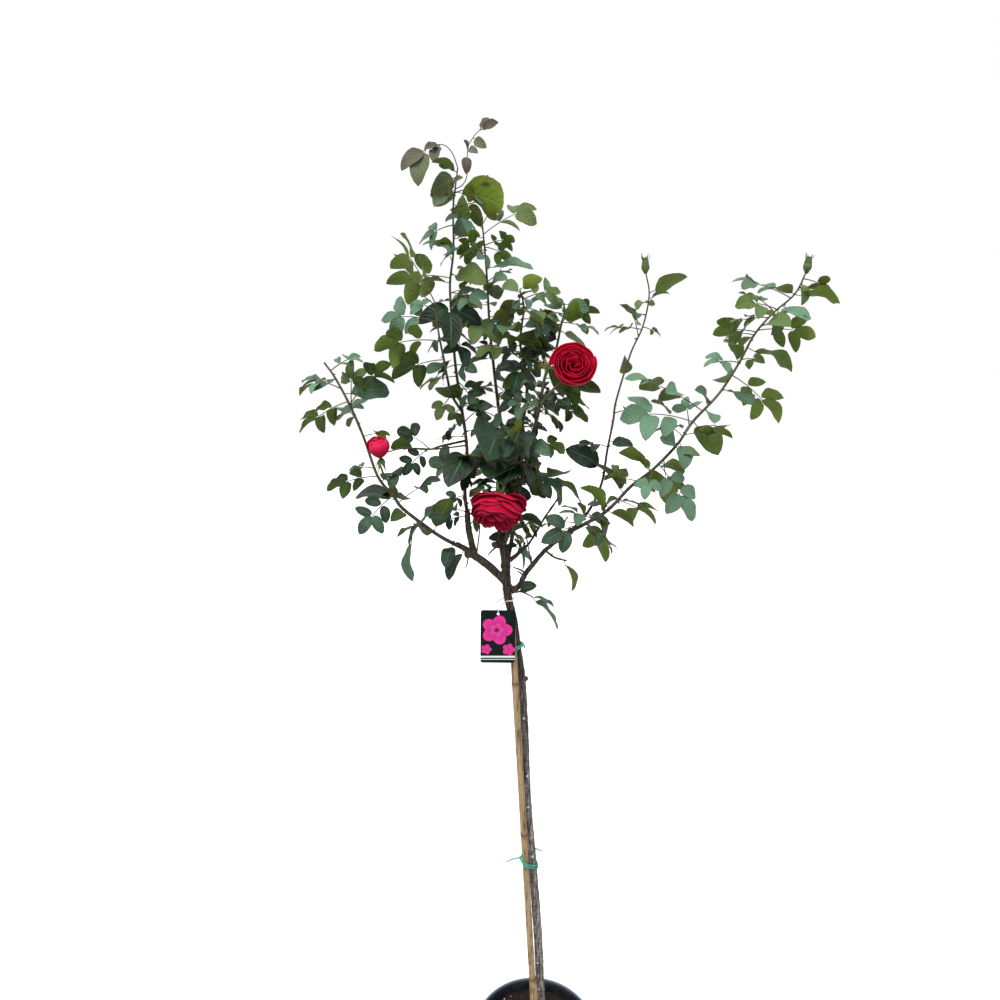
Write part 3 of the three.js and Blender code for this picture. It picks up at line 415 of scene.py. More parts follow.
def stain_of(tree):
    """The three values of the attribute that stain gives, in a material."""
    values = add_node(tree, "Attribute", attribute_name="stain").outputs[0]
    return add_node(tree, "SeparateColor", {0: values}).outputs


def turned(place, turn, size):
    """The matrix that sizes a model, turns it and sets it at a place."""
    return Matrix.LocRotScale(Vector(place), turn, Vector(size))


bpy.ops.mesh.primitive_cube_add(size=1, location=(0, 0, 0))
chip = bpy.context.object
bpy.ops.object.mode_set(mode="EDIT")
bpy.ops.mesh.select_all(action="SELECT")
bpy.ops.mesh.bevel(offset=0.16, segments=1)
bpy.ops.transform.vertex_random(offset=0.09, seed=4)
pick(chip, lambda point: point.x > 0.1)
bpy.ops.transform.resize(value=(1, 0.55, 0.6), center_override=(0, 0, 0))
bpy.ops.object.mode_set(mode="OBJECT")
draw = draws(71)
chips = []
while len(chips) < CHIP_COUNT:
    reach, turn = CHIP_REACH * math.sqrt(draw(0, 1)), draw(0, math.tau)
    spot = Vector((math.cos(turn) * reach, math.sin(turn) * reach, 1))
    bed = soil.ray_cast(spot, (0, 0, -1))[1]
    length = CHIP_SHORTEST + CHIP_SPREAD * draw(0, 1) ** 2.2
    lie = Quaternion((0, 0, 1), draw(0, math.tau)) @ Quaternion((1, 0, 0), draw(-0.5, 0.5))
    lie = lie @ Quaternion((0, 1, 0), draw(-0.35, 0.35))
    pale = draw(0, 1)
    size = (length, length * draw(0.4, 0.7), min(CHIP_THICKEST, length * draw(0.25, 0.45)))
    chips.append(copy_of(chip, turned(bed + Vector((0, 0, size[2] * 0.3)), lie, size)))
    stain(chips[-1], (draw(0, 1), 1.0 if pale > PALE_FROM else 0.0, 0.0))
bpy.data.objects.remove(chip)
chips = gathered("bark_chips", chips)

chip_finish, tree, shader = new_finish("chip", {"Roughness": 0.9, "Specular IOR Level": 0.25})
place = where(tree)
kind = stain_of(tree)
bark = blend(tree, kind["Red"], paint("#0d0b0a"), paint("#3d2e24"))
streaks = use_mottle(tree, place, 500.0, 0.2, bark, paint("#1a1411"))
shade = blend(tree, kind["Green"], streaks["Color"], paint("#b9b2a4"))
tree.links.new(shade, shader.inputs["Base Color"])
use_grain(tree, shader, place, 900.0, 0.6)
dress(chips, chip_finish)
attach(chips, "root")

# ---------------------------------------------------------------- stem and old wood
# The bare stem is one grown piece with its head, its arms and the knuckles where canes were cut: grey
# bark with rings and bud scars below, darker and rougher bark above. A few dry stalks are left on it.

# Rows are x, y, z and radius. A ring is its height, and a bud scar is how far it is across the stem and
# its height. All of these are in millimetres.
STEM = [
    (15, 0, 96, 9.2),
    (14, 0, 236, 9.2),
    (8.5, 0, 370, 8.8),
    (2.5, 0, 494, 8.6),
    (-9.5, 0, 650, 8.3),
    (-20.5, 0, 782, 8),
    (-27, 0, 930, 8),
    (-33, 0, 1028, 8),
    (-41, 0, 1092, 7.8),
    (-49, 0, 1148, 7.8),
    (-57.5, 0, 1186, 7.6),
    (-60.5, 0, 1222, 8.2),
    (-63, 2, 1260, 8),
    (-69, 5, 1292, 7.8),
]
ARMS = [
    [(-64, 0, 1218, 7), (-90, -2, 1245, 7.4), (-116, -5, 1266, 7.2)],
    [(-118, -5, 1270, 6), (-148, -19, 1292, 4.6)],
    [(-118, -5, 1270, 6.5), (-127, 6, 1310, 5.6), (-130, 12, 1345, 5)],
    [
        (-57, 0, 1196, 6),
        (-38, -5, 1211, 5.4),
        (-28, -14, 1235, 4.8),
        (-14, -18, 1255, 4.4),
        (6, -22, 1281, 4),
    ],
    [(6, -22, 1281, 4), (26, -30, 1300, 3.8), (48, -35, 1318, 4.2)],
    [(-66, 0, 1250, 4.6), (-48, -5, 1263, 4), (-36, -8, 1276, 3.4)],
    [(-36, -8, 1276, 2.6), (-20, -4, 1290, 2.4), (5, 6, 1330, 2.2), (31, 16, 1366, 2)],
    [(-70, 0, 1284, 6), (-81, -1, 1284, 5.2), (-83, -1, 1290, 4)],
    [(-58, 4, 1206, 5), (-58, 7, 1258, 4.8), (-53, 14, 1282, 4.6)],
]
DRY_STALKS = [
    [(-80, -1, 1280, 1.9), (-88, -4, 1273, 1.5), (-94, -6, 1266, 0.7)],
    [(-17, -15, 1250, 1.2), (-21, -15, 1276, 1.1), (-25, -12, 1297, 1.1), (-29, -8, 1322, 0.9)],
    [(-113, -4, 1270, 1.3), (-109, -4, 1300, 1.2), (-107, -4, 1321, 1)],
    [(-26, -14, 1236, 1.8), (-37, -16, 1244, 1.5), (-49, -18, 1249, 1)],
    [(-28, -14, 1232, 1.7), (-36, -16, 1238, 1.4), (-42, -17, 1242, 0.8)],
    [(-127, -8, 1268, 1.5), (-130, -9, 1252, 1.1), (-133, -9, 1244, 0.7)],
]
KNUCKLES = [
    (-69, 4, 1290, 9),
    (-58, 0, 1204, 10),
    (-62, 0, 1246, 9.4),
    (-120, -5, 1271, 9),
    (-128, -9, 1270, 7),
    (-36, -8, 1276, 5.2),
    (48, -35, 1318, 6.2),
    (-24, 0, 1031, 4.5),
]
RINGS = [357, 422, 492, 548, 660, 767, 832, 951]
BUD_SCARS = [(-4.8, 358.5), (-3.6, 421), (1.2, 660), (0.6, 767), (2.4, 832), (0, 951)]
MM = 0.001

RING_RADIUS = 0.0011
RING_DEPTH = 0.0004
SCAR_RADIUS = 0.0034
KNUCKLE_ROUGHNESS = 0.16
SKIN_GRAIN = 0.0012


def on_route(rows, place):
    """The values of a route's rows at a place between them, on a smooth curve through all the rows."""
    step = min(int(place), len(rows) - 2)
    share = place - step
    here, ahead = rows[step], rows[step + 1]
    before = rows[step - 1] if step else [2 * a - b for a, b in zip(here, ahead)]
    after = rows[step + 2] if step + 2 < len(rows) else [2 * b - a for a, b in zip(here, ahead)]
    values = []
    for p, a, b, q in zip(before, here, ahead, after):
        leave, arrive = (b - p) / 2, (q - a) / 2
        bend = -3 * a + 3 * b - 2 * leave - arrive
        values.append(a + (leave + (bend + (2 * a - 2 * b + leave + arrive) * share) * share) * share)
    return values


def run_of(rows, steps):
    """Points in metres with their radius, spread along a route whose rows end with the radius."""
    places = [i / steps for i in range((len(rows) - 1) * steps + 1)]
    values = [[v * MM for v in on_route(rows, place)] for place in places]
    return [(value[:3], value[3]) for value in values]


def tubes(name, runs, roundness=2, closed=False):
    """One mesh of round stems. Each run is a row of points with the stem's radius there."""
    line = bpy.data.curves.new(name, "CURVE")
    line.dimensions = "3D"
    line.bevel_depth = 1
    line.bevel_resolution = roundness
    line.use_fill_caps = True
    for run in runs:
        spline = line.splines.new("POLY")
        spline.points.add(len(run) - 1)
        spline.use_cyclic_u = closed
        for point, (place, radius) in zip(spline.points, run):
            point.co = (*place, 1)
            point.radius = radius
    piece = bpy.data.objects.new(name, line)
    bpy.context.collection.objects.link(piece)
    only(piece)
    bpy.ops.object.convert(target="MESH")
    piece = bpy.context.object
    piece.name = piece.data.name = name
    return piece


def closed_run(rows, steps, radius, unit=1):
    """A run of points with one radius, on a smooth curve through all the rows and back to the first."""
    ring = rows[-1:] + rows + rows[:2]
    places = [1 + i / steps for i in range(len(rows) * steps)]
    return [([v * unit for v in on_route(ring, place)], radius) for place in places]


def stem_at(height):
    """The middle of the stem and its radius, in metres, at a height in millimetres."""
    place = 0
    while place < len(STEM) - 1 and on_route(STEM, place)[2] < height:
        place += 0.01
    x, y, z, radius = (v * MM for v in on_route(STEM, place))
    return Vector((x, y, z)), radius


wood = [tubes("wood", [run_of(STEM, 8)] + [run_of(arm, 6) for arm in ARMS], roundness=4)]
for x, y, z, radius in KNUCKLES:
    place = (x * MM, y * MM, z * MM)
    bpy.ops.mesh.primitive_ico_sphere_add(subdivisions=3, radius=radius * MM, location=place)
    bpy.ops.object.mode_set(mode="EDIT")
    bpy.ops.transform.vertex_random(offset=radius * MM * KNUCKLE_ROUGHNESS, seed=int(z))
    bpy.ops.object.mode_set(mode="OBJECT")
    wood.append(bpy.context.object)
for height in RINGS:
    middle, radius = stem_at(height)
    bpy.ops.mesh.primitive_torus_add(
        location=middle,
        major_radius=radius - RING_DEPTH,
        minor_radius=RING_RADIUS,
        major_segments=24,
        minor_segments=8,
    )
    wood.append(bpy.context.object)
for across, height in BUD_SCARS:
    middle, radius = stem_at(height)
    side = across * MM
    front = middle + Vector((side, -math.sqrt(radius * radius - side * side), 0.004))
    bpy.ops.mesh.primitive_ico_sphere_add(subdivisions=2, radius=SCAR_RADIUS, location=front)
    wood.append(bpy.context.object)
wood = gathered("stem_and_old_wood", wood)
finish_with(wood, "REMESH", mode="VOXEL", voxel_size=SKIN_GRAIN, use_smooth_shade=True)
finish_with(wood, "SMOOTH", factor=0.5, iterations=4)
for name, size, strength in (("growth", 0.014, 0.0016), ("bark_relief", 0.0035, 0.0007)):
    bulges = noise_texture(name, size)
    finish_with(wood, "DISPLACE", texture=bulges, strength=strength, texture_coords="LOCAL")
# The dry stalks are thinner than the grain of the skin, so they are joined to it once it is made.
stalks = tubes("dry_stalks", [run_of(stalk, 4) for stalk in DRY_STALKS])
wood = gathered("stem_and_old_wood", [wood, stalks])

rose_bark, tree, shader = new_finish("rose_bark", {"Roughness": 0.82, "Specular IOR Level": 0.3})
place = where(tree)
height = height_of(tree, place)
upright = add_node(tree, "Mapping", {"Vector": place, "Scale": (1, 1, 0.07)}).outputs[0]
level = add_node(tree, "Mapping", {"Vector": place, "Scale": (0.35, 0.35, 2.2)}).outputs[0]
young = use_mottle(tree, upright, 260.0, 0.14, paint("#4b4542"), paint("#857d77"))["Color"]
pale = use_mottle(tree, upright, 520.0, 0.05, young, young)["Mask"]
young = blend(tree, sums(tree, "MULTIPLY", pale, 0.5), young, paint("#c6c0b9"))
band = use_mottle(tree, level, 90.0, 0.05, young, young)["Mask"]
young = blend(tree, sums(tree, "MULTIPLY", band, 0.35), young, paint("#443c38"))
old = use_mottle(tree, upright, 420.0, 0.1, paint("#241b18"), paint("#5d4e47"))
green = use_mottle(tree, place, 120.0, 0.1, old["Color"], paint("#474a2f"))
higher = add_node(tree, "TexNoise", {"Vector": place, "Scale": 30.0}).outputs[0]
higher = sums(tree, "MULTIPLY_ADD", higher, 0.3, height)
turning = ramp(tree, higher, 0.8, 1.35)
upper = ramp(tree, height, 1.2, 1.27)
mossy = blend(tree, sums(tree, "MULTIPLY", upper, 0.7), old["Color"], green["Color"])
bark = blend(tree, turning, young, mossy)
rift = add_node(tree, "TexNoise", {"Vector": upright, "Scale": 210.0, "Detail": 2.0}).outputs[0]
rift = ramp(tree, sums(tree, "ABSOLUTE", sums(tree, "SUBTRACT", rift, 0.5)), 0.035, 0.01)
bark = blend(tree, sums(tree, "MULTIPLY", rift, 0.85), bark, paint("#1b1412"))
for across, scar_height in BUD_SCARS:
    middle, radius = stem_at(scar_height)
    side = across * MM
    spot = middle + Vector((side, -radius - 0.002, 0.0055))
    gap = add_node(tree, "VectorMath", {0: place, 1: spot}, operation="DISTANCE").outputs["Value"]
    bark = blend(tree, ramp(tree, gap, 0.0028, 0.0014), bark, paint("#cfc5b6"))
tree.links.new(bark, shader.inputs["Base Color"])
cracks = add_node(tree, "TexNoise", {"Vector": upright, "Scale": 480.0, "Detail": 5.0}).outputs[0]
relief = add_node(tree, "Bump", {"Height": cracks, "Strength": 1.0, "Distance": 0.003})
tree.links.new(relief.outputs[0], shader.inputs["Normal"])
dress(wood, rose_bark)
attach(wood, "root")
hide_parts("trunk")

# ---------------------------------------------------------------- bamboo cane
# A bamboo cane, pushed into the soil beside the stem: straw-coloured and fibrous, thicker towards its
# foot, with a sheath scar and a swelling at each joint, and a cut top.

CANE_FOOT = Vector((0.0114, -0.017, 0.060))
CANE_TOP = Vector((-0.0510, -0.017, 1.146))
CANE_RADIUS = 0.0061
FLARE_SIDE = Vector((-0.8, 0.8, 0)) * CANE_RADIUS
CANE_JOINTS = [0.399, 0.722, 1.031]

# A row is a height, or a step from a joint, and how many times as wide the cane is there.
CANE_FLARE = [(0.44, 1.02), (0.38, 1.22), (0.3, 1.42), (0.08, 1.42)]
JOINT_RINGS = [(-0.007, 1.0), (-0.0028, 1.05), (-0.0008, 1.15), (0.0006, 0.98), (0.0024, 1.1), (0.0075, 1.0)]

cane_line = CANE_TOP - CANE_FOOT


def cane_at(height):
    """The middle of the cane at a height."""
    return CANE_FOOT + cane_line * ((height - CANE_FOOT.z) / cane_line.z)


def swell_cane(rings, beside):
    """Cuts rings into the cane and widens each about its middle, or about a point beside it."""
    for height, _ in rings:
        bpy.ops.mesh.select_all(action="SELECT")
        bpy.ops.mesh.bisect(plane_co=(0, 0, height), plane_no=(0, 0, 1))
    for height, swell in rings:
        pick(cane, lambda point: abs(point.z - height) < 0.0002)
        bpy.ops.transform.resize(value=(swell, swell, 1), center_override=cane_at(height) + beside)


bpy.ops.mesh.primitive_cylinder_add(
    vertices=28,
    radius=CANE_RADIUS,
    depth=cane_line.length,
    location=(CANE_FOOT + CANE_TOP) / 2,
    rotation=(0, math.atan2(cane_line.x, cane_line.z), 0),
)
cane = gathered("bamboo_cane", [bpy.context.object])
bpy.ops.object.mode_set(mode="EDIT")
swell_cane([(joint + offset, swell) for joint in CANE_JOINTS for offset, swell in JOINT_RINGS], Vector())
swell_cane(CANE_FLARE, FLARE_SIDE)
bpy.ops.object.mode_set(mode="OBJECT")
finish_with(cane, "BEVEL", width=0.0006, segments=2, limit_method="ANGLE", angle_limit=math.radians(60))
only(cane)
bpy.ops.object.shade_smooth_by_angle(angle=math.radians(50))

bamboo, tree, shader = new_finish("bamboo", {"Roughness": 0.5, "Specular IOR Level": 0.35})
place = where(tree)
height = height_of(tree, place)
along = add_node(tree, "Mapping", {"Vector": place, "Scale": (1, 1, 0.03)}).outputs[0]
fibre = use_mottle(tree, along, 420.0, 0.1, paint("#5e482e"), paint("#b09671"))
stain_patch = use_mottle(tree, place, 45.0, 0.08, fibre["Color"], paint("#a58a63"))
specks = use_mottle(tree, place, 260.0, 0.03, paint("#ffffff"), paint("#7a5a38"))
speck_share = sums(tree, "MULTIPLY", sums(tree, "GREATER_THAN", specks["Mask"], 0.98), 0.25)
shade = blend(tree, speck_share, stain_patch["Color"], paint("#7d5f3c"))
for joint in CANE_JOINTS:
    gap = sums(tree, "ABSOLUTE", sums(tree, "SUBTRACT", height, joint - 0.0006))
    shade = blend(tree, ramp(tree, gap, 0.0026, 0.0008), shade, paint("#3a2619"))
    near = sums(tree, "MULTIPLY", ramp(tree, gap, 0.012, 0.002), 0.5)
    shade = blend(tree, near, shade, paint("#7d5c40"))
tree.links.new(shade, shader.inputs["Base Color"])
ribs = add_node(tree, "TexNoise", {"Vector": along, "Scale": 1500.0, "Detail": 2.0}).outputs[0]
relief = add_node(tree, "Bump", {"Height": ribs, "Strength": 0.45, "Distance": 0.0008})
tree.links.new(relief.outputs[0], shader.inputs["Normal"])
dress(cane, bamboo)
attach(cane, "root")
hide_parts("bamboo_stake")

# ---------------------------------------------------------------- ties
# Two green plastic ties hold the stem to the cane. Each is a thin tape, wound round both twice and
# knotted, with the ends left loose.

# Heights, pitches, slack, ends and their radii are in millimetres. The slope is how steeply a tie runs
# from the stem across to the cane, and an end is a row of steps from the knot.
TIES = {
    "upper_tie": {
        "height": 1101,
        "pitch": 3.4,
        "slope": -0.25,
        "slack": 0.9,
        "knot_on_stem": True,
        "knot_turn": 0.2,
        "ends": [[(3, 2, -4), (4, 4, -9)]],
    },
    "lower_tie": {
        "height": 656,
        "pitch": 5,
        "slope": -0.9,
        "slack": 0.8,
        "knot_on_stem": False,
        "knot_turn": math.pi,
        "ends": [
            [(-7, -1, 0), (-17, -2, -2), (-27, -3, -7)],
            [(4, 11, 0), (11, 25, 0), (24, 32, -2), (42, 25, -5)],
        ],
    },
}
TIE_RADIUS = 0.0016
TIE_GAP = 0.0003
KNOT_RADIUS = 0.0022
KNOT_THICKNESS = 0.0015
KNOT_TURN = (0.5, 1.2, 0)
END_RADII = (1.5, 1.2)

tie_plastic, tree, shader = new_finish("tie_plastic", {"Specular IOR Level": 0.5})
place = where(tree)
worn = use_mottle(tree, place, 240.0, 0.16, paint("#1b6b58"), paint("#35c3a2"))
tree.links.new(worn["Color"], shader.inputs["Base Color"])
rough = sums(tree, "MULTIPLY_ADD", worn["Mask"], 0.15, 0.3)
tree.links.new(rough, shader.inputs["Roughness"])
use_grain(tree, shader, place, 1300.0, 0.25)


def tie_winding(tie, height):
    """One turn of a tie round the stem and the cane, as a closed run of points."""
    stem, stem_radius = stem_at(height)
    cane_middle = cane_at(height * MM)
    toward = math.atan2(stem.y - cane_middle.y, stem.x - cane_middle.x)
    gap = TIE_GAP + TIE_RADIUS + tie["slack"] * MM
    rows = []
    bends = ((stem, stem_radius, toward), (cane_middle, CANE_RADIUS, toward + math.pi))
    for middle, radius, start in bends:
        for turn in (-0.5, -0.25, 0, 0.25, 0.5):
            turn = start + turn * math.pi
            x = middle.x + math.cos(turn) * (radius + gap)
            y = middle.y + math.sin(turn) * (radius + gap)
            z = height * MM + tie["slope"] * (x - (stem.x + cane_middle.x) / 2)
            rows.append((x, y, z))
    return closed_run(rows, 5, TIE_RADIUS)


for name, tie in TIES.items():
    runs = [tie_winding(tie, tie["height"] + side * tie["pitch"]) for side in (-0.5, 0.5)]
    winding = tubes(name + "_winding", runs, closed=True)
    stem, stem_radius = stem_at(tie["height"])
    cane_middle = cane_at(tie["height"] * MM)
    middle, radius = (stem, stem_radius) if tie["knot_on_stem"] else (cane_middle, CANE_RADIUS)
    out = radius + TIE_RADIUS + KNOT_RADIUS
    knot = middle + Vector((math.cos(tie["knot_turn"]), math.sin(tie["knot_turn"]), 0)) * out
    knot.z = tie["height"] * MM + tie["slope"] * (knot.x - (stem.x + cane_middle.x) / 2)
    bpy.ops.mesh.primitive_torus_add(
        location=knot,
        rotation=KNOT_TURN,
        major_radius=KNOT_RADIUS,
        minor_radius=KNOT_THICKNESS,
        major_segments=20,
        minor_segments=10,
    )
    parts = [winding, bpy.context.object]
    ends = []
    for end in tie["ends"]:
        rows = [(*(knot / MM), END_RADII[0])]
        rows += [(*(knot / MM + Vector(step)), END_RADII[1]) for step in end]
        ends.append(run_of(rows, 6))
    parts.append(tubes(name + "_ends", ends))
    piece = gathered(name.replace("_tie", "_plastic_tie"), parts)
    bpy.ops.object.shade_smooth()
    dress(piece, tie_plastic)
    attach(piece, "root")
    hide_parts(name)

# ---------------------------------------------------------------- plant label
# A flat printed plastic label with a punched hole. Its print is a plain pattern of three five-lobed
# blossoms over dark green, with two pale bands below.

# A blossom is its place across the label and up it, from its middle, and its reach. A layer of lobes is
# the wave that shapes it, its share of the reach and its colour. A band is its place up the label and
# half its width.
BLOSSOMS = [(-0.002, 0.0125, 0.0275), (0.019, -0.024, 0.0115), (-0.0205, -0.0235, 0.0095)]
LOBE_LAYERS = [("COSINE", 1.0, "#e3128a"), ("SINE", 0.7, "#c80c74"), ("COSINE", 0.42, "#e63a9c")]
PALE_BANDS = [(-0.0375, 0.0016), (-0.0425, 0.0006)]

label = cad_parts["label"]
low_corner, high_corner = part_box("label")
label_middle = (low_corner + high_corner) / 2

label_print, tree, shader = new_finish("label_print", {"Roughness": 0.4, "Specular IOR Level": 0.12})
place = where(tree)
centred = add_node(tree, "VectorMath", {0: place, 1: label_middle}, operation="SUBTRACT").outputs[0]
flat = add_node(tree, "SeparateXYZ", {0: centred}).outputs
shade = use_mottle(tree, place, 60.0, 0.25, paint("#06120e"), paint("#0e221c"))["Color"]
for x, z, size in BLOSSOMS:
    across = sums(tree, "SUBTRACT", flat["X"], x)
    upward = sums(tree, "SUBTRACT", flat["Z"], z)
    squared = sums(tree, "MULTIPLY_ADD", across, across, sums(tree, "MULTIPLY", upward, upward))
    reach = sums(tree, "SQRT", squared)
    turn = sums(tree, "ARCTAN2", upward, across)
    streaks = sums(tree, "MULTIPLY_ADD", sums(tree, "SINE", sums(tree, "MULTIPLY", turn, 35.0)), 0.2, 0.2)
    for wave, width, tint in LOBE_LAYERS:
        lobes = sums(tree, "ABSOLUTE", sums(tree, wave, sums(tree, "MULTIPLY", turn, 2.5)))
        edge = sums(tree, "MULTIPLY_ADD", lobes, size * width * 0.3, size * width * 0.7)
        inside = sums(tree, "DIVIDE", reach, edge)
        petal = blend(tree, ramp(tree, inside, 0.2, 1.0), paint("#8a0a50"), paint(tint))
        petal = blend(tree, streaks, petal, paint("#f36cb6"))
        shade = blend(tree, ramp(tree, inside, 1.03, 0.97), shade, petal)
    shade = blend(tree, ramp(tree, reach, size * 0.13, size * 0.1), shade, paint("#7a0846"))
for middle, thickness in PALE_BANDS:
    band = sums(tree, "ABSOLUTE", sums(tree, "SUBTRACT", flat["Z"], middle))
    shade = blend(tree, ramp(tree, band, thickness * 1.2, thickness), shade, paint("#dfe6de"))
tree.links.new(shade, shader.inputs["Base Color"])
use_grain(tree, shader, place, 500.0, 0.05)
# The label is as flat as its solid, so the solid itself is shown, with the print on it.
label.material_slots[0].material = label_print

# ---------------------------------------------------------------- label strap
# A thin white plastic strap, threaded through the label's hole and closed in a loop round the stem,
# so that the label hangs just below the head.

# The hole and the strap's sizes are in millimetres. A bend is a share of half a turn, and its rise.
HOLE = (-75.2, -36, 1169.5)
STRAP_HEIGHT = 1183
STRAP_RADIUS = 1
STRAP_GAP = 1.2
STRAP_BENDS = [(-0.62, 0), (-0.3, 0.5), (0, 1), (0.3, 1.5), (0.6, 1.5), (0.9, 1.5)]

stem, stem_radius = stem_at(STRAP_HEIGHT)
reach = stem_radius / MM + STRAP_RADIUS + STRAP_GAP
x, y, z = HOLE
rows = [(x, y - 2.4, z + 1.5), (x + 2, y - 1.5, z + 14)]
for turn, rise in STRAP_BENDS:
    side = stem / MM + Vector((math.cos(turn * math.pi), math.sin(turn * math.pi), 0)) * reach
    rows.append((side.x, side.y, side.z + rise))
rows += [(x - 4, y + 14, z + 15), (x - 2, y + 6, z + 8), (x, y + 2, z + 0.4), (x, y, z - 0.4)]
strap_run = closed_run(rows, 6, STRAP_RADIUS * MM, MM)
strap = gathered("label_strap", [tubes("strap", [strap_run], closed=True)])
bpy.ops.object.shade_smooth()

strap_plastic, tree, shader = new_finish("strap_plastic", {"Roughness": 0.4})
place = where(tree)
soiled = use_mottle(tree, place, 200.0, 0.2, paint("#f4f3ef"), paint("#d9d7cf"))
tree.links.new(soiled["Color"], shader.inputs["Base Color"])
use_grain(tree, shader, place, 1500.0, 0.1)
dress(strap, strap_plastic)
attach(strap, "root")
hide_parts("label_loop")

# ---------------------------------------------------------------- canes and leaves
# Seven long canes and three short twigs grow out of the old wood. Each is brown at its foot and green
# above, with prickles, and bears leaves: a thin stalk, leaflets in pairs along it and one at its end.

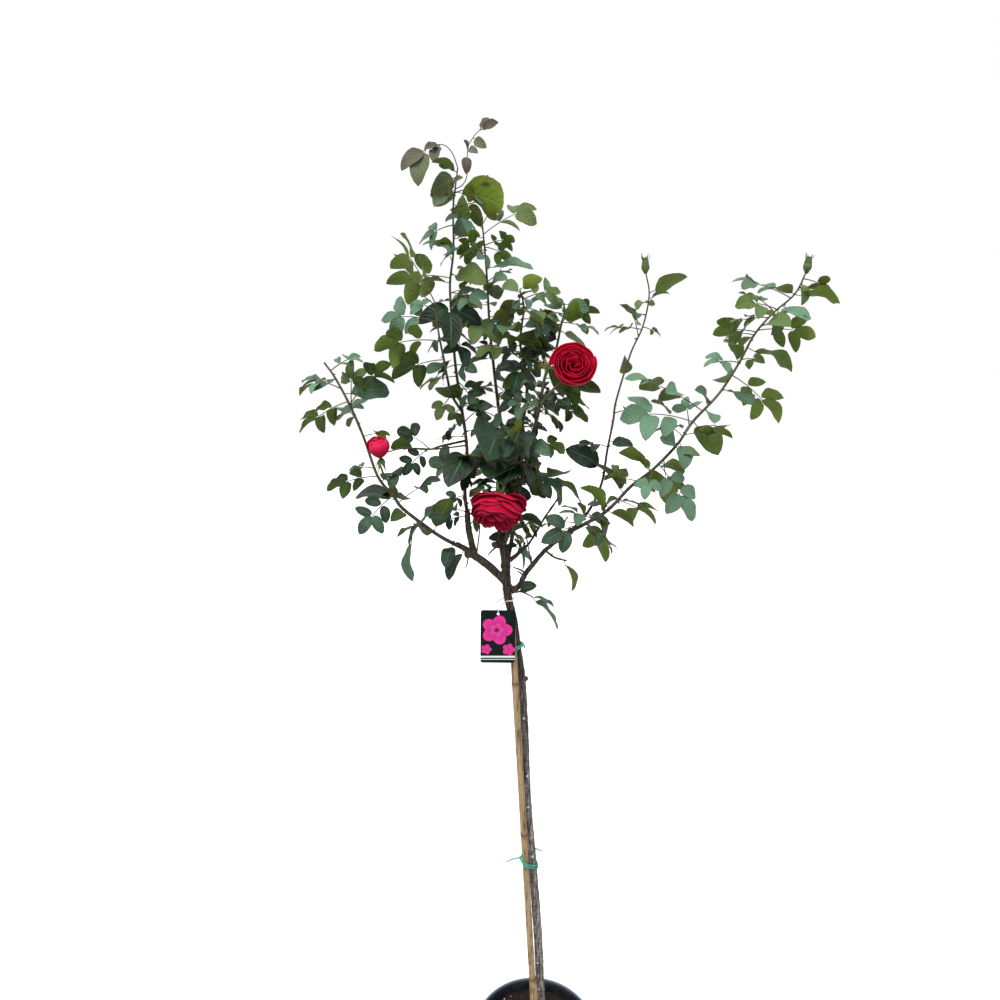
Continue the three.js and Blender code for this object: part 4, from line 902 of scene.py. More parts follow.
# Routes, radii and leaves are in millimetres. A leaf is its place on the route, counted in the route's
# points, the steps from there to its tip and its pairs of leaflets. Some rows also give its tone and
# how far it is turned about its stalk. Infill is how many more leaves a rule spreads along the cane.
CROWN = {
    "stem_low_left": {
        "route": [
            (-118, -5, 1270), (-170, -30, 1305), (-205, -45, 1335), (-235, -60, 1365), (-247, -70, 1387),
            (-270, -76, 1420), (-288, -82, 1480), (-305, -94, 1532), (-325, -105, 1578),
            (-340, -110, 1602),
        ],
        "radii": (3.6, 1.5),
        "infill": 16,
        "leaves": [
            (0.3, -28, -26, -48, 0, "plain", 0.2), (2, 30, 20, 30, 0), (3.9, 20, 35, -10, 0),
            (4, -55, -20, -60, 2), (4.3, 10, 25, 25, 0), (5, -80, -16, -20, 2), (6.1, 45, -9, 5, 1),
            (6.9, -30, 25, -15, 0), (7, 0, 20, 75, 1), (7, 20, 2, 0, 0), (7.1, 65, 3, 65, 2),
            (7.2, -80, 4, -50, 2), (7.6, -70, 35, 10, 2),
        ],
        "shoots": [
            {
                "route": [(-247, -70, 1387), (-247, -82, 1405), (-256, -98, 1425), (-262, -105, 1448)],
                "radii": (2, 1.6),
            },
            {
                "route": [(-205, -45, 1335), (-196, -67, 1352), (-214, -73, 1330), (-217, -80, 1318)],
                "radii": (0.9, 0.6),
                "leaves": [
                    (0.5, -24, -28, -40, 0, "plain", 0.5), (0.9, 35, -10, -3, 0, "plain", 0.6),
                    (2.9, -6, -11, -72, 0, "plain", 0.8),
                ],
            },
        ],
    },
    "stem_leader": {
        "route": [
            (-118, -5, 1270), (-129, 10, 1335), (-134, 20, 1380), (-130, 30, 1450), (-140, 45, 1525),
            (-150, 55, 1595), (-155, 60, 1665), (-158, 60, 1730), (-151, 55, 1785), (-150, 45, 1850),
            (-146, 40, 1880), (-141, 35, 1912),
        ],
        "radii": (3.6, 1.1),
        "infill": 34,
        "leaves": [
            (1.1, -50, -35, 15, 1), (2.6, -5, -45, -35, 1), (2.8, 15, -35, -30, 0),
            (3, -26, -89, -48, 0, "plain", -0.5), (3.7, -35, -35, -40, 1), (4, 40, -45, -10, 1),
            (4.6, 35, -40, -45, 2), (5, -30, -50, -20, 1), (6, 25, -45, -70, 2), (6.3, 85, -45, -55, 2),
            (6.8, 55, -60, -30, 2), (7, 5, -70, -105, 1), (7.2, -115, 40, -5, 2), (8, -25, -35, 10, 0),
            (8.3, 20, 30, 35, 0), (9, 85, -30, 5, 2), (9.5, -35, 30, -5, 0),
            (9.7, -30, -42, -25, 0, "dusky", -0.2), (9.9, 82, -55, -31, 0, "fresh", -0.8),
            (10.6, -37, -42, -29, 0, "dusky", -1.2), (10.8, -39, -26, 11, 0, "plain", 0),
            (10.8, -29, -11, 10, 0, "plain", 0.4),
        ],
        "shoots": [
            {
                "route": [
                    (-139, 42, 1515), (-155, 20, 1545), (-160, 5, 1570), (-165, -10, 1605),
                    (-170, -20, 1635), (-174, -25, 1665), (-175, -30, 1692),
                ],
                "radii": (2.6, 1.2),
                "leaves": [
                    (1, -25, -25, -40, 1), (2.9, -25, -35, -15, 0), (3, -90, 15, -30, 1),
                    (4, -105, -20, -15, 2), (4.3, 0, -45, -25, 1), (5, -95, 20, 5, 2),
                    (5.6, -45, 30, 15, 1), (5.9, -40, -20, 25, 1), (6, -70, 25, 110, 2),
                ],
            },
            {
                "route": [(-132, 33, 1465), (-172, 0, 1460), (-190, -15, 1456), (-212, -30, 1459)],
                "radii": (2.2, 1.4),
                "leaves": [(2, -60, 25, 30, 1), (2.2, -40, -25, -40, 2), (3, -40, -20, 5, 0)],
            },
            {
                "route": [
                    (-146, 40, 1880), (-133, 33, 1886), (-126, 29, 1898), (-125, 24, 1921),
                    (-123, 19, 1940), (-113, 15, 1955), (-104, 10, 1962),
                ],
                "radii": (0.9, 0.6),
                "leaves": [
                    (3.4, -2, -14, -31, 0, "red", -0.2), (3.8, -5, -5, 13, 0, "red", -1.3),
                    (3.9, 15, -19, -12, 0, "red", 1.2), (4.8, 21, -16, -19, 0, "dusky", 1.4),
                    (6, 29, -10, 9, 0, "red", 1.4), (6, 13, 10, 22, 0, "red", 0.2),
                ],
            },
            {
                "route": [
                    (-130, 31, 1457), (-179, -10, 1456), (-213, -39, 1461), (-234, -68, 1464),
                    (-249, -98, 1463),
                ],
                "radii": (1.5, 1.1),
            },
            {
                "route": [
                    (-141, 35, 1912), (-148, 31, 1931), (-158, 26, 1942), (-168, 22, 1944),
                    (-181, 17, 1941), (-190, 12, 1936),
                ],
                "radii": (0.9, 0.5),
                "leaves": [
                    (3, -24, -17, -12, 0, "red", -0.9), (3, -11, -22, -30, 0, "red", -0.2),
                    (4.8, -41, -13, -36, 0, "red", -1.1), (5, -13, -26, -59, 0, "dusky", -0.2),
                ],
            },
        ],
    },
    "stem_back": {
        "route": [
            (-72, 8, 1284), (-73, 32, 1325), (-71, 60, 1370), (-66, 75, 1405), (-66, 90, 1460),
            (-75, 105, 1520), (-84, 115, 1595), (-91, 120, 1665), (-95, 120, 1740), (-99, 115, 1795),
            (-103, 110, 1836),
        ],
        "radii": (4.6, 1.3),
        "infill": 36,
        "leaves": [
            (3, 15, -75, -30, 1), (3, -65, 50, -25, 1), (3.3, 140, -60, -60, 2),
            (3.3, -20, -142, -5, 0, "plain", -0.4), (4, -25, -90, -20, 1), (4.3, 70, 45, -80, 2),
            (4.4, -24, -166, -34, 0, "plain", -0.3), (4.6, -60, -45, 25, 1), (5, 0, -80, -30, 1),
            (5.5, -40, 40, -15, 1), (5.5, 30, 60, -35, 1), (6.6, -40, 45, 45, 1), (7.5, 10, 40, 0, 0),
            (8, 45, -25, 20, 1), (8.1, -55, 30, 20, 1), (9, -45, -25, -15, 0), (9.1, 50, 25, -20, 1),
            (9.2, -35, 40, -30, 1), (9.6, 95, 30, 50, 2), (9.8, -20, -30, 25, 0), (10, 35, 20, 50, 1),
        ],
        "shoots": [
            {
                "route": [(-70, 55, 1365), (-74, 15, 1394), (-76, -25, 1402), (-77, -57, 1387)],
                "radii": (3, 2.4),
            },
        ],
    },
    "stem_middle": {
        "route": [
            (-58, 7, 1258), (-49, 24, 1302), (-40, 57, 1385), (-33, 60, 1480), (-25, 40, 1545),
            (-30, 20, 1595), (-38, 10, 1630), (-36, 0, 1660), (-33, -10, 1690), (-40, -15, 1717),
        ],
        "radii": (4, 1.2),
        "infill": 34,
        "leaves": [
            (2.4, -30, -123, -19, 0, "plain", -0.5), (3, -65, -70, -40, 1),
            (3.1, -27, -129, -38, 0, "plain", -0.3), (3.5, 65, 70, 20, 1), (4.7, -30, -35, 10, 0),
            (5, 30, 50, -20, 1), (5.2, -20, -70, -50, 1), (5.5, 25, 45, -5, 0), (6, 35, -35, -5, 0),
            (6.3, -35, 30, 0, 1), (8, -40, -20, -5, 0), (8.4, 65, 30, 15, 2), (8.6, 10, -35, -20, 0),
            (8.8, -30, 25, 15, 0), (9, 35, 15, 20, 0),
        ],
    },
    "stem_front": {
        "route": [
            (-67, 1, 1280), (-52, -12, 1326), (-36, -30, 1405), (-20, -45, 1475), (-7, -46, 1533),
            (2, -35, 1580), (20, -10, 1620), (29, 0, 1660), (35, 8, 1682), (34, 10, 1697),
        ],
        "radii": (4.2, 1.2),
        "infill": 34,
        "leaves": [
            (2.4, 8, -26, -36, 0, "plain", -0.2), (3, 30, -35, -20, 0),
            (3.3, -11, -23, -44, 0, "plain", 0.3), (3.4, -50, -45, -15, 1), (4, 30, -46, -40, 1),
            (4.1, 80, 20, -35, 2), (4.3, -40, -48, -35, 1), (4.9, 95, 30, -24, 1), (6, -25, 25, 20, 0),
            (7, -60, -25, 0, 2), (7.2, 60, -15, -20, 1), (8.8, -30, 20, 20, 0), (8.9, 40, -20, -10, 0),
        ],
        "shoots": [
            {
                "route": [(-6, -46, 1535), (12, -45, 1555), (32, -38, 1575), (46, -38, 1588)],
                "radii": (2.6, 2.2),
                "leaves": [(1.2, 55, -35, -30, 1)],
            },
        ],
    },
    "stem_right": {
        "route": [
            (48, -35, 1318), (75, -40, 1334), (100, -45, 1350), (120, -50, 1370), (145, -55, 1400),
            (180, -60, 1430), (220, -50, 1470), (245, -40, 1505), (290, -25, 1550), (325, -10, 1600),
            (350, 0, 1645), (380, 5, 1680), (414, 5, 1711), (430, 5, 1746),
        ],
        "radii": (3.4, 1.3),
        "infill": 24,
        "leaves": [
            (0.8, -70, 35, -10, 1), (0.9, -75, -30, -25, 1), (0.9, 45, -25, -45, 1), (1, 40, 30, -75, 1),
            (1.1, 25, 35, -50, 0), (1.4, -60, -35, 20, 1), (2, 30, 35, 20, 0), (2.4, 40, -30, -20, 0),
            (3.2, 70, 25, -45, 1), (4.3, -50, 35, -5, 1), (4.9, -20, 25, 20, 0), (5, -20, -32, -45, 1),
            (5.2, 55, -25, -90, 2), (5.4, 20, 50, -85, 1), (6, -35, -30, 15, 0), (6.1, 5, -30, -40, 0),
            (6.4, 85, 15, -5, 2), (7, -125, -35, 10, 2), (7.4, -125, 25, 55, 2), (7.6, -30, -40, 30, 0),
            (8.6, 75, -30, -75, 2), (9, -65, -25, -5, 1), (9.1, 50, 30, -5, 1), (10, -55, -30, -5, 1),
            (10, -10, 35, -20, 0), (10.2, 85, -30, -10, 2), (10.8, -70, 25, -15, 2),
            (11.2, -80, -35, 5, 1), (11.3, -25, -40, -45, 1), (11.8, -90, 30, 30, 2),
            (12, -40, -25, 10, 0), (12.2, 55, -15, -5, 0), (12.6, -5, -20, -39, 0, "fresh", -0.5),
            (12.7, 50, 0, -21, 1, "dusky", -0.5),
        ],
    },
    "stem_upright": {
        "route": [
            (48, -35, 1318), (80, -20, 1350), (104, 0, 1395), (115, 20, 1450), (126, 35, 1500),
            (131, 40, 1535), (155, 50, 1615), (175, 55, 1660), (184, 55, 1712), (176, 51, 1750),
        ],
        "radii": (2.6, 1.1),
        "infill": 6,
        "leaves": [
            (2.2, 50, 30, 0, 1), (3.1, -55, -30, 5, 1), (3.3, 35, -35, -5, 0),
            (6.9, -67, -15, -3, 2, "fresh", 0.2), (7, 34, 5, -17, 1, "fresh", -0.2),
            (7.4, -23, -16, -8, 0, "plain", 0), (7.8, 7, -20, -6, 0, "fresh", 1.2),
            (7.8, -25, -25, -14, 0, "fresh", 0.1), (7.9, 32, -15, 8, 0, "fresh", -0.2),
        ],
    },
    "twig_low_middle": {
        "route": [(-57, -4, 1196), (-36, -20, 1205), (-18, -32, 1201)],
        "radii": (2, 1.2),
        "leaves": [
            (0.7, 34, -15, 17, 0, "plain", 0.8), (1.9, 42, -19, -12, 0, "plain", -0.1),
            (2, 50, -8, -56, 0, "plain", 0.1),
        ],
    },
    "twig_low_right": {
        "route": [(6, -22, 1281), (22, -36, 1272), (42, -42, 1268)],
        "radii": (2.2, 1.4),
        "leaves": [(1.8, 12, -14, -52, 0)],
    },
    "twig_spur": {
        "route": [(-36, -8, 1276), (-38, -20, 1290), (-46, -26, 1302)],
        "radii": (2.4, 2),
        "leaves": [(1, 20, -20, 22, 0), (1.2, -26, -16, -4, 0)],
    },
}
FIRST_SEED = 117
SEED_STEP = 17

# A leaflet's row is a place along it and its width there. A pair is its place along the leaf, and its
# size as a share of the leaf.
LEAFLET_WIDTH = 0.54
LEAFLET_ROWS = [
    (0, 0.07),
    (0.06, 0.46),
    (0.2, 0.86),
    (0.4, 1),
    (0.6, 0.96),
    (0.78, 0.76),
    (0.92, 0.42),
    (1, 0.03),
]
PAIRS = [[], [(0.46, 0.43)], [(0.3, 0.34), (0.57, 0.39)]]
LEAFLET_STEPS = len(LEAFLET_ROWS) - 1
ASIDE = 2

# A stalk rises by its arch and thins from its foot to its tip. The end leaflet stands off it by a neck,
# which is longer where the leaf is single.
STALK_ARCH = 0.14
STALK_RADIUS = 0.00105
STALK_TAPER = 0.00008
SINGLE_STALK_RADIUS = 0.0009
STALK_TIP_RADIUS = 0.0006
PAIRED_NECK = 0.12
SINGLE_NECK = 0.16

# A tone is how red and how fresh a leaf is. Leaves are painted dark near the middle of the crown and
# paler outwards, as painted shade in the crown's depth and painted light on its outside.
TONES = {"plain": (0.0, 0.0), "red": (1.0, 0.0), "fresh": (0.0, 1.0), "dusky": (0.45, 0.7)}
PAINTED_SHADE_MIDDLE = Vector((-0.12, 0, 1.42))

# The share of leaves that are young low on a cane, what the top adds to it, and how many of the young
# ones are fresh.
YOUNG_SHARE = 0.06
YOUNG_MORE_ABOVE = 0.34
FRESH_OF_YOUNG = 0.75

# How far from its foot a cane is brown. A side shoot is green all along.
USUAL_OLD_REACH = 0.42
SHOOT_OLD_REACH = 0.001
OLD_REACH = {"stem_front": 0.9, "stem_middle": 0.8, "stem_back": 0.8, "stem_leader": 0.6}

# Infill leaves start a little above a cane's foot. They keep between two depths, where a leaf that would
# go past one is folded the other way, and keep clear of the flowers. The short ones have no pairs.
INFILL_START = 0.5
INFILL_SPAN = 0.9
INFILL_REACH = (0.042, 0.085)
PAIRED_REACH = 0.045
LEAF_FRONT = -0.088
LEAF_BACK = 0.135
FOLDED_BACK = -0.6
FLOWER_ROOM = 0.056
FLOWER_SPOTS = [
    Vector((0.044, -0.07, 1.6)),
    Vector((-0.078, -0.08, 1.355)),
    Vector((-0.262, -0.11, 1.475)),
]
GOLDEN_TURN = 2.39996
UP = Vector((0, 0, 1))

# Prickles are left off where a cane is thinner than this.
PRICKLE_CANE_RADIUS = 0.0014


def smooth_step(value, low, high):
    """0 at low and before it, 1 at high and past it, and smooth between them."""
    share = min(1, max(0, (value - low) / (high - low)))
    return share * share * (3 - 2 * share)


def reshaped(model, rule):
    """A copy of a model, with a mesh of its own, whose points are moved by a rule."""
    twin = copy_of(model, Matrix())
    for point in twin.data.vertices:
        point.co = rule(point.co)
    return twin


def toned_leaf(name, face, vein, young, fresh, gloss):
    """The finish of one face of a leaf: its ribs follow the leaflet, and its tone and painted shade are in
    its points.
    """
    leaf_finish, tree, shader = new_finish(name, {"Specular IOR Level": gloss})
    spot = add_node(tree, "SeparateXYZ", {0: add_node(tree, "UVMap").outputs[0]}).outputs
    tone = stain_of(tree)
    place = where(tree)
    across = sums(tree, "ABSOLUTE", sums(tree, "SUBTRACT", spot["X"], 0.5))
    slant = sums(tree, "MULTIPLY_ADD", across, -0.62, spot["Y"])
    wave = sums(tree, "SINE", sums(tree, "MULTIPLY", slant, 46.0))
    ribs = ramp(tree, wave, 0.86, 1.0)
    midrib = ramp(tree, across, 0.045, 0.015)
    lines = sums(tree, "MAXIMUM", midrib, sums(tree, "MULTIPLY", ribs, 0.25))
    patches = use_mottle(tree, place, 34.0, 0.12, paint(face[0]), paint(face[1]))["Color"]
    # Painted shade and light: the stain's first value moves a leaf from its dark face colours to the light
    # one, the further out in the crown it grows.
    shade = blend(tree, sums(tree, "MULTIPLY", tone["Red"], 0.8), patches, paint(face[2]))
    shade = blend(tree, tone["Blue"], shade, paint(fresh))
    shade = blend(tree, sums(tree, "MULTIPLY", tone["Green"], 0.85), shade, paint(young))
    margin = sums(tree, "MULTIPLY", ramp(tree, across, 0.4, 0.5), 0.25)
    shade = blend(tree, margin, shade, paint(young))
    shade = blend(tree, sums(tree, "MULTIPLY", lines, 0.4), shade, paint(vein))
    tree.links.new(shade, shader.inputs["Base Color"])
    quilt = sums(tree, "MULTIPLY_ADD", wave, 0.3, sums(tree, "MULTIPLY", midrib, -1.0))
    crinkle = add_node(tree, "TexNoise", {"Vector": place, "Scale": 320.0, "Detail": 2.0}).outputs[0]
    quilt = sums(tree, "ADD", quilt, crinkle)
    relief = add_node(tree, "Bump", {"Height": quilt, "Strength": 0.55, "Distance": 0.0012})
    tree.links.new(relief.outputs[0], shader.inputs["Normal"])
    rough = sums(tree, "MULTIPLY_ADD", crinkle, 0.25, 0.5 - gloss * 0.25)
    tree.links.new(rough, shader.inputs["Roughness"])
    return leaf_finish


leaf_top = toned_leaf("leaf_top", ("#0a1e0d", "#1a3a1e", "#6e9474"), "#6b9078", "#573129", "#566a22", 0.38)
leaf_under = toned_leaf("leaf_under", ("#33481a", "#48601f", "#6b8230"), "#8a9a48", "#64382c", "#6a8020", 0.3)

# The model of a leaflet lies flat with its foot at the origin, its tip at y = 1 and its face up.
bpy.ops.mesh.primitive_grid_add(x_subdivisions=2, y_subdivisions=LEAFLET_STEPS, size=1, location=(0, 0.5, 0))
# A row that is shaped waits aside, so that no later row is picked with it.
leaflet = gathered("leaflet", [bpy.context.object])
bpy.ops.object.mode_set(mode="EDIT")
for row, (height, width) in enumerate(LEAFLET_ROWS):
    pick(leaflet, lambda point: abs(point.y - row / LEAFLET_STEPS) < 0.02)
    bpy.ops.transform.translate(value=(0, height - row / LEAFLET_STEPS + ASIDE, 0))
    bpy.ops.transform.resize(value=(width, 1, 1), center_override=(0, 0, 0))
bpy.ops.mesh.select_all(action="SELECT")
bpy.ops.transform.translate(value=(0, -ASIDE, 0))
mesh = bmesh.from_edit_mesh(leaflet.data)
for edge in mesh.edges:
    edge.select = edge.is_boundary and abs(edge.verts[0].co.y - edge.verts[1].co.y) > 0.01
    edge.select = edge.select and min(abs(v.co.x) for v in edge.verts) > 0.005
mesh.select_flush(True)
bmesh.update_edit_mesh(leaflet.data)
bpy.ops.mesh.subdivide(number_cuts=1)
bpy.ops.transform.resize(value=(1.07, 1, 1), center_override=(0, 0, 0))
bpy.ops.mesh.select_all(action="SELECT")
bpy.ops.mesh.quads_convert_to_tris()
bpy.ops.object.mode_set(mode="OBJECT")
for material in (leaf_top, leaf_under):
    leaflet.data.materials.append(material)
finish_with(leaflet, "SOLIDIFY", thickness=0.012, offset=-1, material_offset=1, material_offset_rim=1)
only(leaflet)
bpy.ops.object.shade_smooth_by_angle(angle=math.radians(50))

bpy.ops.mesh.primitive_cone_add(vertices=5, radius1=0.0021, radius2=0, depth=0.0062, location=(0, 0, 0.0028))
prickle = gathered("prickle", [bpy.context.object])
bpy.ops.object.mode_set(mode="EDIT")
pick(prickle, lambda point: point.z > 0.005)
bpy.ops.transform.translate(value=(0, -0.0024, 0))
pick(prickle, lambda point: point.z < 0.001)
bpy.ops.transform.resize(value=(0.62, 1.5, 1), center_override=(0, 0, 0))
bpy.ops.object.mode_set(mode="OBJECT")

cane_skin, tree, shader = new_finish("cane_skin", {"Specular IOR Level": 0.4})
place = where(tree)
tone = stain_of(tree)
fresh = use_mottle(tree, place, 70.0, 0.14, paint("#3a3d24"), paint("#575a34"))["Color"]
aged = use_mottle(tree, place, 160.0, 0.12, paint("#26201b"), paint("#4f4538"))["Color"]
cloud = add_node(tree, "TexNoise", {"Vector": place, "Scale": 45.0}).outputs[0]
uneven = sums(tree, "MULTIPLY_ADD", cloud, 0.5, -0.25)
age = ramp(tree, sums(tree, "ADD", tone["Red"], uneven), 0.25, 0.85)
shade = blend(tree, age, fresh, aged)
shade = blend(tree, tone["Green"], shade, paint("#5a3a30"))
tree.links.new(shade, shader.inputs["Base Color"])
rough = sums(tree, "MULTIPLY_ADD", age, 0.35, 0.4)
tree.links.new(rough, shader.inputs["Roughness"])
use_grain(tree, shader, place, 520.0, 0.35)


def blade_normal(direction, turn):
    """The way that a leaf's upper face looks: up, and turned about the leaf's own line."""
    normal = (UP - direction * UP.dot(direction)).normalized()
    return Quaternion(direction, turn) @ normal


def leaf_piece(foot, direction, normal, length, droop, arch, twist, fold, wave, tone):
    """One leaflet in its place, folded along its midrib, arched, twisted and bowed down to its tip."""
    place = Matrix((direction.cross(normal), direction, normal)).transposed()

    def rule(point):
        x, y, z = point
        rise = abs(x) * LEAFLET_WIDTH * fold + arch * y * (1 - y) - droop * y * y + twist * x * y
        rise += wave * math.sin(9 * y + 5 * x) * abs(x)
        return foot + place @ (Vector((x * LEAFLET_WIDTH, y, z + rise)) * length)

    twin = reshaped(leaflet, rule)
    stain(twin, tone)
    return twin


def whole_leaf(base, reach, pairs, turn, tone, draw, blades, stalks):
    """Adds one leaf: its stalk's run of points to the stalks, and its leaflets to the blades."""
    length = reach.length
    middle, tip = base + reach / 2 + UP * (length * STALK_ARCH), base + reach
    # Painted shade: a leaf is darker the nearer its tip is to the middle of the crown, and lighter further
    # out, on top of a random tone.
    shade = draw(-0.6, 0.5) + smooth_step((tip - PAINTED_SHADE_MIDDLE).length, 0.14, 0.4)
    red, fresh = TONES[tone]
    last = PAIRS[pairs][-1][0] if pairs else 0

    def on_stalk(share):
        point = base * (1 - share) ** 2 + middle * (2 * share * (1 - share)) + tip * share ** 2
        direction = (middle - base) * (1 - share) + (tip - middle) * share
        return point, direction.normalized()

    for share, size in PAIRS[pairs]:
        point, direction = on_stalk(share)
        normal = blade_normal(direction, turn)
        spread = draw(1.0, 1.16)
        for side in (1, -1):
            outward = Quaternion(normal, -side * spread) @ direction
            span = size * length * draw(0.93, 1.05)
            lie = Quaternion(outward, draw(-0.35, 0.35)) @ normal
            start = point + outward * (length * 0.03)
            tint = (min(1, max(0, shade + draw(-0.25, 0.25))), red * draw(0.6, 1), fresh * draw(0.6, 1))
            shape = draw(0.1, 0.38), draw(0, 0.3), draw(-0.5, 0.5), draw(0.1, 0.5), draw(-0.12, 0.12)
            blades.append(leaf_piece(start, outward, lie, span, *shape, tint))
    point, direction = on_stalk(last)
    end = tip - point
    span = end.length
    end.normalize()
    neck = PAIRED_NECK if pairs else SINGLE_NECK
    normal = blade_normal(end, turn)
    start = point + end * (span * neck)
    shape = draw(0.0, 0.1), draw(0.1, 0.6), draw(-0.5, 0.5), draw(0.1, 0.5), draw(-0.12, 0.12)
    tint = (min(1, max(0, shade)), red * draw(0.6, 1), fresh * draw(0.6, 1))
    blades.append(leaf_piece(start, end, normal, span * (1 - neck), *shape, tint))
    run = [(base, SINGLE_STALK_RADIUS)]
    if pairs:
        run = [(on_stalk(last * i / 4)[0], STALK_RADIUS - STALK_TAPER * i) for i in range(5)]
    run.append((start + end * 0.002, STALK_TIP_RADIUS))
    stalks.append([(tuple(point), radius) for point, radius in run])


def cane_run(shoot):
    """The run of a cane along its route: its points and its radius, thick at the foot."""
    route, (first, last) = shoot["route"], shoot["radii"]
    steps = len(route) - 1
    return run_of([(*point, first + (last - first) * i / steps) for i, point in enumerate(route)], 6)


def aged_from(part, foot, reach):
    """Stains a cane by its distance from its foot: 1 where it is old and 0 where it is green."""
    values = []
    for point in part.data.vertices:
        values += [max(0, 1 - (point.co - foot).length / reach), 0, 0, 1]
    layer = part.data.attributes.new("stain", "FLOAT_COLOR", "POINT")
    layer.data.foreach_set("color", values)


def usual_tone(share, draw):
    """The tone of a leaf that has none of its own: now and then a young one, more so high on a cane."""
    chance = draw(0, 1)
    young = YOUNG_SHARE + YOUNG_MORE_ABOVE * smooth_step(share, 0.5, 0.9)
    if chance < young * FRESH_OF_YOUNG:
        return "fresh"
    return "dusky" if chance < young else "plain"


def on_cane(shoot, place):
    """The point of a cane at a place on its route."""
    return Vector(on_route(shoot["route"], place)) * MM


def infill_leaf(shoot, number, draw, blades, stalks):
    """Adds an infill leaf to a cane. It is turned on round the cane from the last one and hangs a little."""
    count = len(shoot["route"])
    place = (number + draw(0.3, 1)) * (count - 1) / shoot["infill"]
    place = min(place * INFILL_SPAN + INFILL_START, count - 1)
    base = on_cane(shoot, place)
    along = UP
    if place < count - 1.1:
        along = (on_cane(shoot, place + 0.1) - base).normalized()
    outward = Quaternion(along, number * GOLDEN_TURN) @ along.orthogonal().normalized()
    reach = outward + along * draw(-0.1, 0.4) + UP * draw(-0.5, 0.2)
    reach *= draw(*INFILL_REACH) / reach.length
    if not LEAF_FRONT < base.y + reach.y < LEAF_BACK:
        reach.y *= FOLDED_BACK
    pairs = int(draw(0, 2.3)) if reach.length > PAIRED_REACH else 0
    turn, tone = draw(-1.2, 1.2), usual_tone(place / count, draw)
    if min((base + reach * 0.7 - spot).length for spot in FLOWER_SPOTS) > FLOWER_ROOM:
        whole_leaf(base, reach, pairs, turn, tone, draw, blades, stalks)


def add_prickles(run, draw, parts):
    """Adds a prickle at every fifth point of a cane, as far up as the cane is thick enough."""
    for (here, radius), (ahead, _) in list(zip(run, run[1:]))[4::5]:
        here, along = Vector(here), (Vector(ahead) - Vector(here)).normalized()
        out = Quaternion(along, draw(0, math.tau)) @ along.orthogonal().normalized()
        lie = Matrix((along.cross(out), along, out)).transposed().to_quaternion()
        size = draw(0.55, 0.95)
        if radius > PRICKLE_CANE_RADIUS:
            hook = copy_of(prickle, turned(here + out * (radius * 0.7), lie, (size, size, size)))
            stain(hook, (0.15, 0.8, 0.0))
            parts.append(hook)


def leafy_shoot(shoot, draw, blades, parts, old_reach):
    """Adds a cane or a side shoot with its prickles, its stalks and its leaflets."""
    run = cane_run(shoot)
    skin = tubes("skin", [run], roundness=3)
    aged_from(skin, Vector(shoot["route"][0]) * MM, old_reach)
    parts.append(skin)
    stalks = []
    for place, x, y, z, pairs, *look in shoot.get("leaves", []):
        tone, turn = look or (usual_tone(place / len(shoot["route"]), draw), draw(-1.2, 1.2))
        reach = Vector((x, y, z)) * MM
        whole_leaf(on_cane(shoot, place), reach, pairs, turn, tone, draw, blades, stalks)
    for number in range(shoot.get("infill", 0)):
        infill_leaf(shoot, number, draw, blades, stalks)
    if stalks:
        stalk = tubes("stalks", stalks, roundness=1)
        stain(stalk, (0.0, 0.35, 0.0))
        parts.append(stalk)
    add_prickles(run, draw, parts)


crown_parts = {}
for number, (name, stem) in enumerate(CROWN.items()):
    draw = draws(FIRST_SEED + number * SEED_STEP)
    blades, parts = [], []
    leafy_shoot(stem, draw, blades, parts, OLD_REACH.get(name, USUAL_OLD_REACH))
    for shoot in stem.get("shoots", []):
        leafy_shoot(shoot, draw, blades, parts, SHOOT_OLD_REACH)
    crown_parts[name] = parts
    foliage = gathered(name.replace("stem", "leaves").replace("twig", "leaves_twig"), blades)
    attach(foliage, "root")
    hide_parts(name)
bpy.data.objects.remove(leaflet)
bpy.data.objects.remove(prickle)

# ---------------------------------------------------------------- flowers
# Three double crimson roses. The petals sit in a spiral on the calyx, the inner ones cupped and the
# outer ones laid open with their rims rolled back, and a green hip with five sepals holds them.

